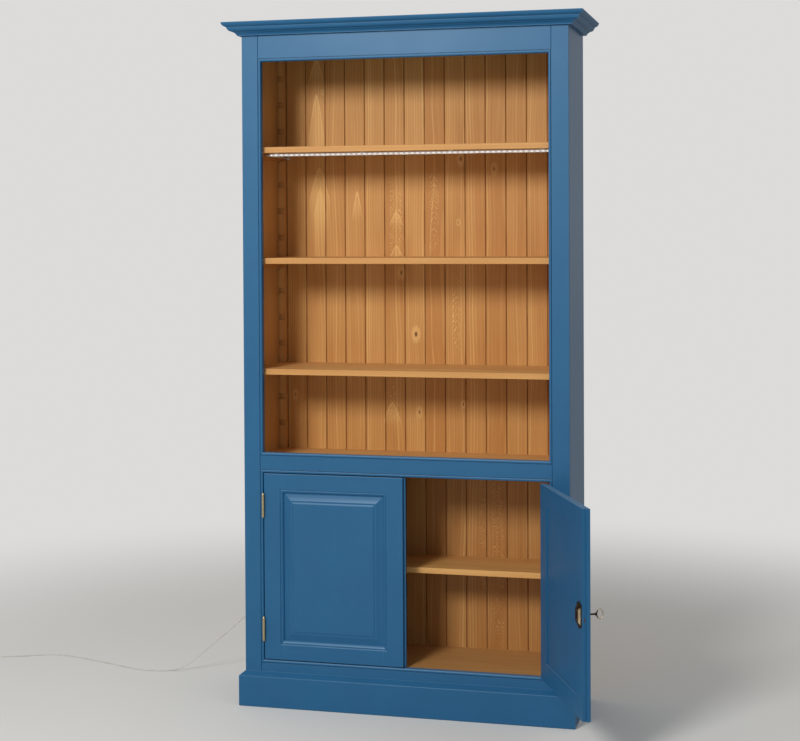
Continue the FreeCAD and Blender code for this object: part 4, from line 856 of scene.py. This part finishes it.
def inner_fasteners():
    """Screws of the slip bolt's guide and of the door stop, and the nails of the back."""
    guide = middle_of("slip_bolt_guide")
    screws = [((guide.x + side * GUIDE_SCREWS_ACROSS, DOOR_BACK_Y + PLATE_T, guide.z + row * GUIDE_SCREWS_UP),
               (0, 1, 0)) for side in (-1, 1) for row in (-1, 1)]
    heads("slip_bolt_screws", "left_door", BRASS, screw_head, GUIDE_HEAD, screws)
    stop = middle_of("door_stop")
    stop_screw = [((stop.x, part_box("door_stop")[1].y, stop.z), (0, 1, 0))]
    heads("door_stop_screw", "carcass", STEEL, screw_head, STOP_HEAD, stop_screw)
    back_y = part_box("back_boards")[1].y
    half = FULL_BACK_BOARDS // 2
    nails = [(((board + 0.5) * BACK_BOARD_W + off, back_y, z), (0, 1, 0))
             for z in NAIL_ROWS for board in range(-half, half) for off in (-NAIL_OFF, NAIL_OFF)]
    heads("back_nails", "carcass", STEEL, round_head, NAIL_HEAD, nails)


hinge_screws()
lock_fasteners()
inner_fasteners()


# ---------------------------------------------------------------- studio

BACKDROP = srgb(220, 219, 218)
FLOOR = srgb(230, 229, 226)
FLOOR_SHADE = srgb(196, 196, 195)
AMBIENT = 0.45
AMBIENT_COLOUR = (0.99, 0.99, 0.985, 1.0)
LAMP_COLOUR = (1.0, 0.985, 0.95)


def backdrop_share(s):
    """1 for what the camera sees, 0 for light on surfaces and for what gloss mirrors."""
    path = s.node("LightPath").outputs
    return s.math("MAXIMUM", path["Is Camera Ray"], path["Is Transmission Ray"])


def studio_floor():
    """A pale floor that keeps the object's shadow, and melts into the backdrop further out."""
    bpy.ops.mesh.primitive_plane_add(size=FLOOR_SIZE, location=(0, 0, -FLOOR_DROP))
    floor = bpy.context.object
    floor.name = "studio_floor"
    s = Shade("studio_floor")
    x, y, _ = s.split(s.place)
    away = s.math("SQRT", s.add(s.times(x, x), s.times(y, y)))
    tint = s.noise(s.place, 1.5)
    colour = s.mix(s.times(tint, 0.12), FLOOR, FLOOR_SHADE)
    lit = s.node("BsdfDiffuse", {"Color": colour}).outputs[0]
    plain = s.node("Emission", {"Color": BACKDROP, "Strength": 1.0}).outputs[0]
    share = s.times(s.ease(away, *FLOOR_FADE), backdrop_share(s))
    s.finish(s.node("MixShader", {0: share, 1: lit, 2: plain}).outputs[0])
    floor.data.materials.append(s.material)


def studio_world():
    """Even light from all round, with the pale backdrop where the camera sees past the floor."""
    world = bpy.data.worlds.new("studio")
    bpy.context.scene.world = world
    graph = Graph(world)
    ambient = graph.node("Background", {"Color": AMBIENT_COLOUR, "Strength": AMBIENT}).outputs[0]
    seen = graph.node("Background", {"Color": BACKDROP, "Strength": 1.0}).outputs[0]
    mixed = graph.node("MixShader", {0: backdrop_share(graph), 1: ambient, 2: seen}).outputs[0]
    graph.put(graph.node("OutputWorld").inputs["Surface"], mixed)


def key_lamp():
    """One soft round lamp, high at the left."""
    data = bpy.data.lights.new("key", "AREA")
    data.shape = "DISK"
    data.size = LAMP_SIZE
    data.energy = LAMP_WATTS
    data.color = LAMP_COLOUR
    lamp = bpy.data.objects.new("key", data)
    lamp.location = LAMP_PLACE
    lamp.rotation_euler = (Vector(LAMP_TARGET) - Vector(LAMP_PLACE)).to_track_quat("-Z", "Y").to_euler()
    bpy.context.scene.collection.objects.link(lamp)


def photo_camera():
    """The photograph's viewpoint, from the vanishing points and sizes of the carcass."""
    level = Vector((math.cos(CAMERA_YAW), math.sin(CAMERA_YAW), 0.0))
    forward = Vector((
        -math.sin(CAMERA_YAW) * math.cos(CAMERA_PITCH), math.cos(CAMERA_YAW) * math.cos(CAMERA_PITCH),
        math.sin(CAMERA_PITCH),
    ))
    upward = level.cross(forward)
    right = math.cos(CAMERA_ROLL) * level + math.sin(CAMERA_ROLL) * upward
    up = -math.sin(CAMERA_ROLL) * level + math.cos(CAMERA_ROLL) * upward
    data = bpy.data.cameras.new("photo_view")
    data.sensor_width = CAMERA_SENSOR_MM
    data.lens = CAMERA_LENS_MM
    data.shift_y = CAMERA_SHIFT_Y
    data.clip_end = CAMERA_REACH
    camera = bpy.data.objects.new("photo_view", data)
    bpy.context.scene.collection.objects.link(camera)
    turned = Matrix((right, up, -forward)).transposed().to_4x4()
    camera.matrix_world = Matrix.Translation(CAMERA_PLACE) @ turned
    bpy.context.scene.camera = camera


studio_floor()
studio_world()
key_lamp()
photo_camera()
bpy.context.scene.view_settings.view_transform = "Standard"
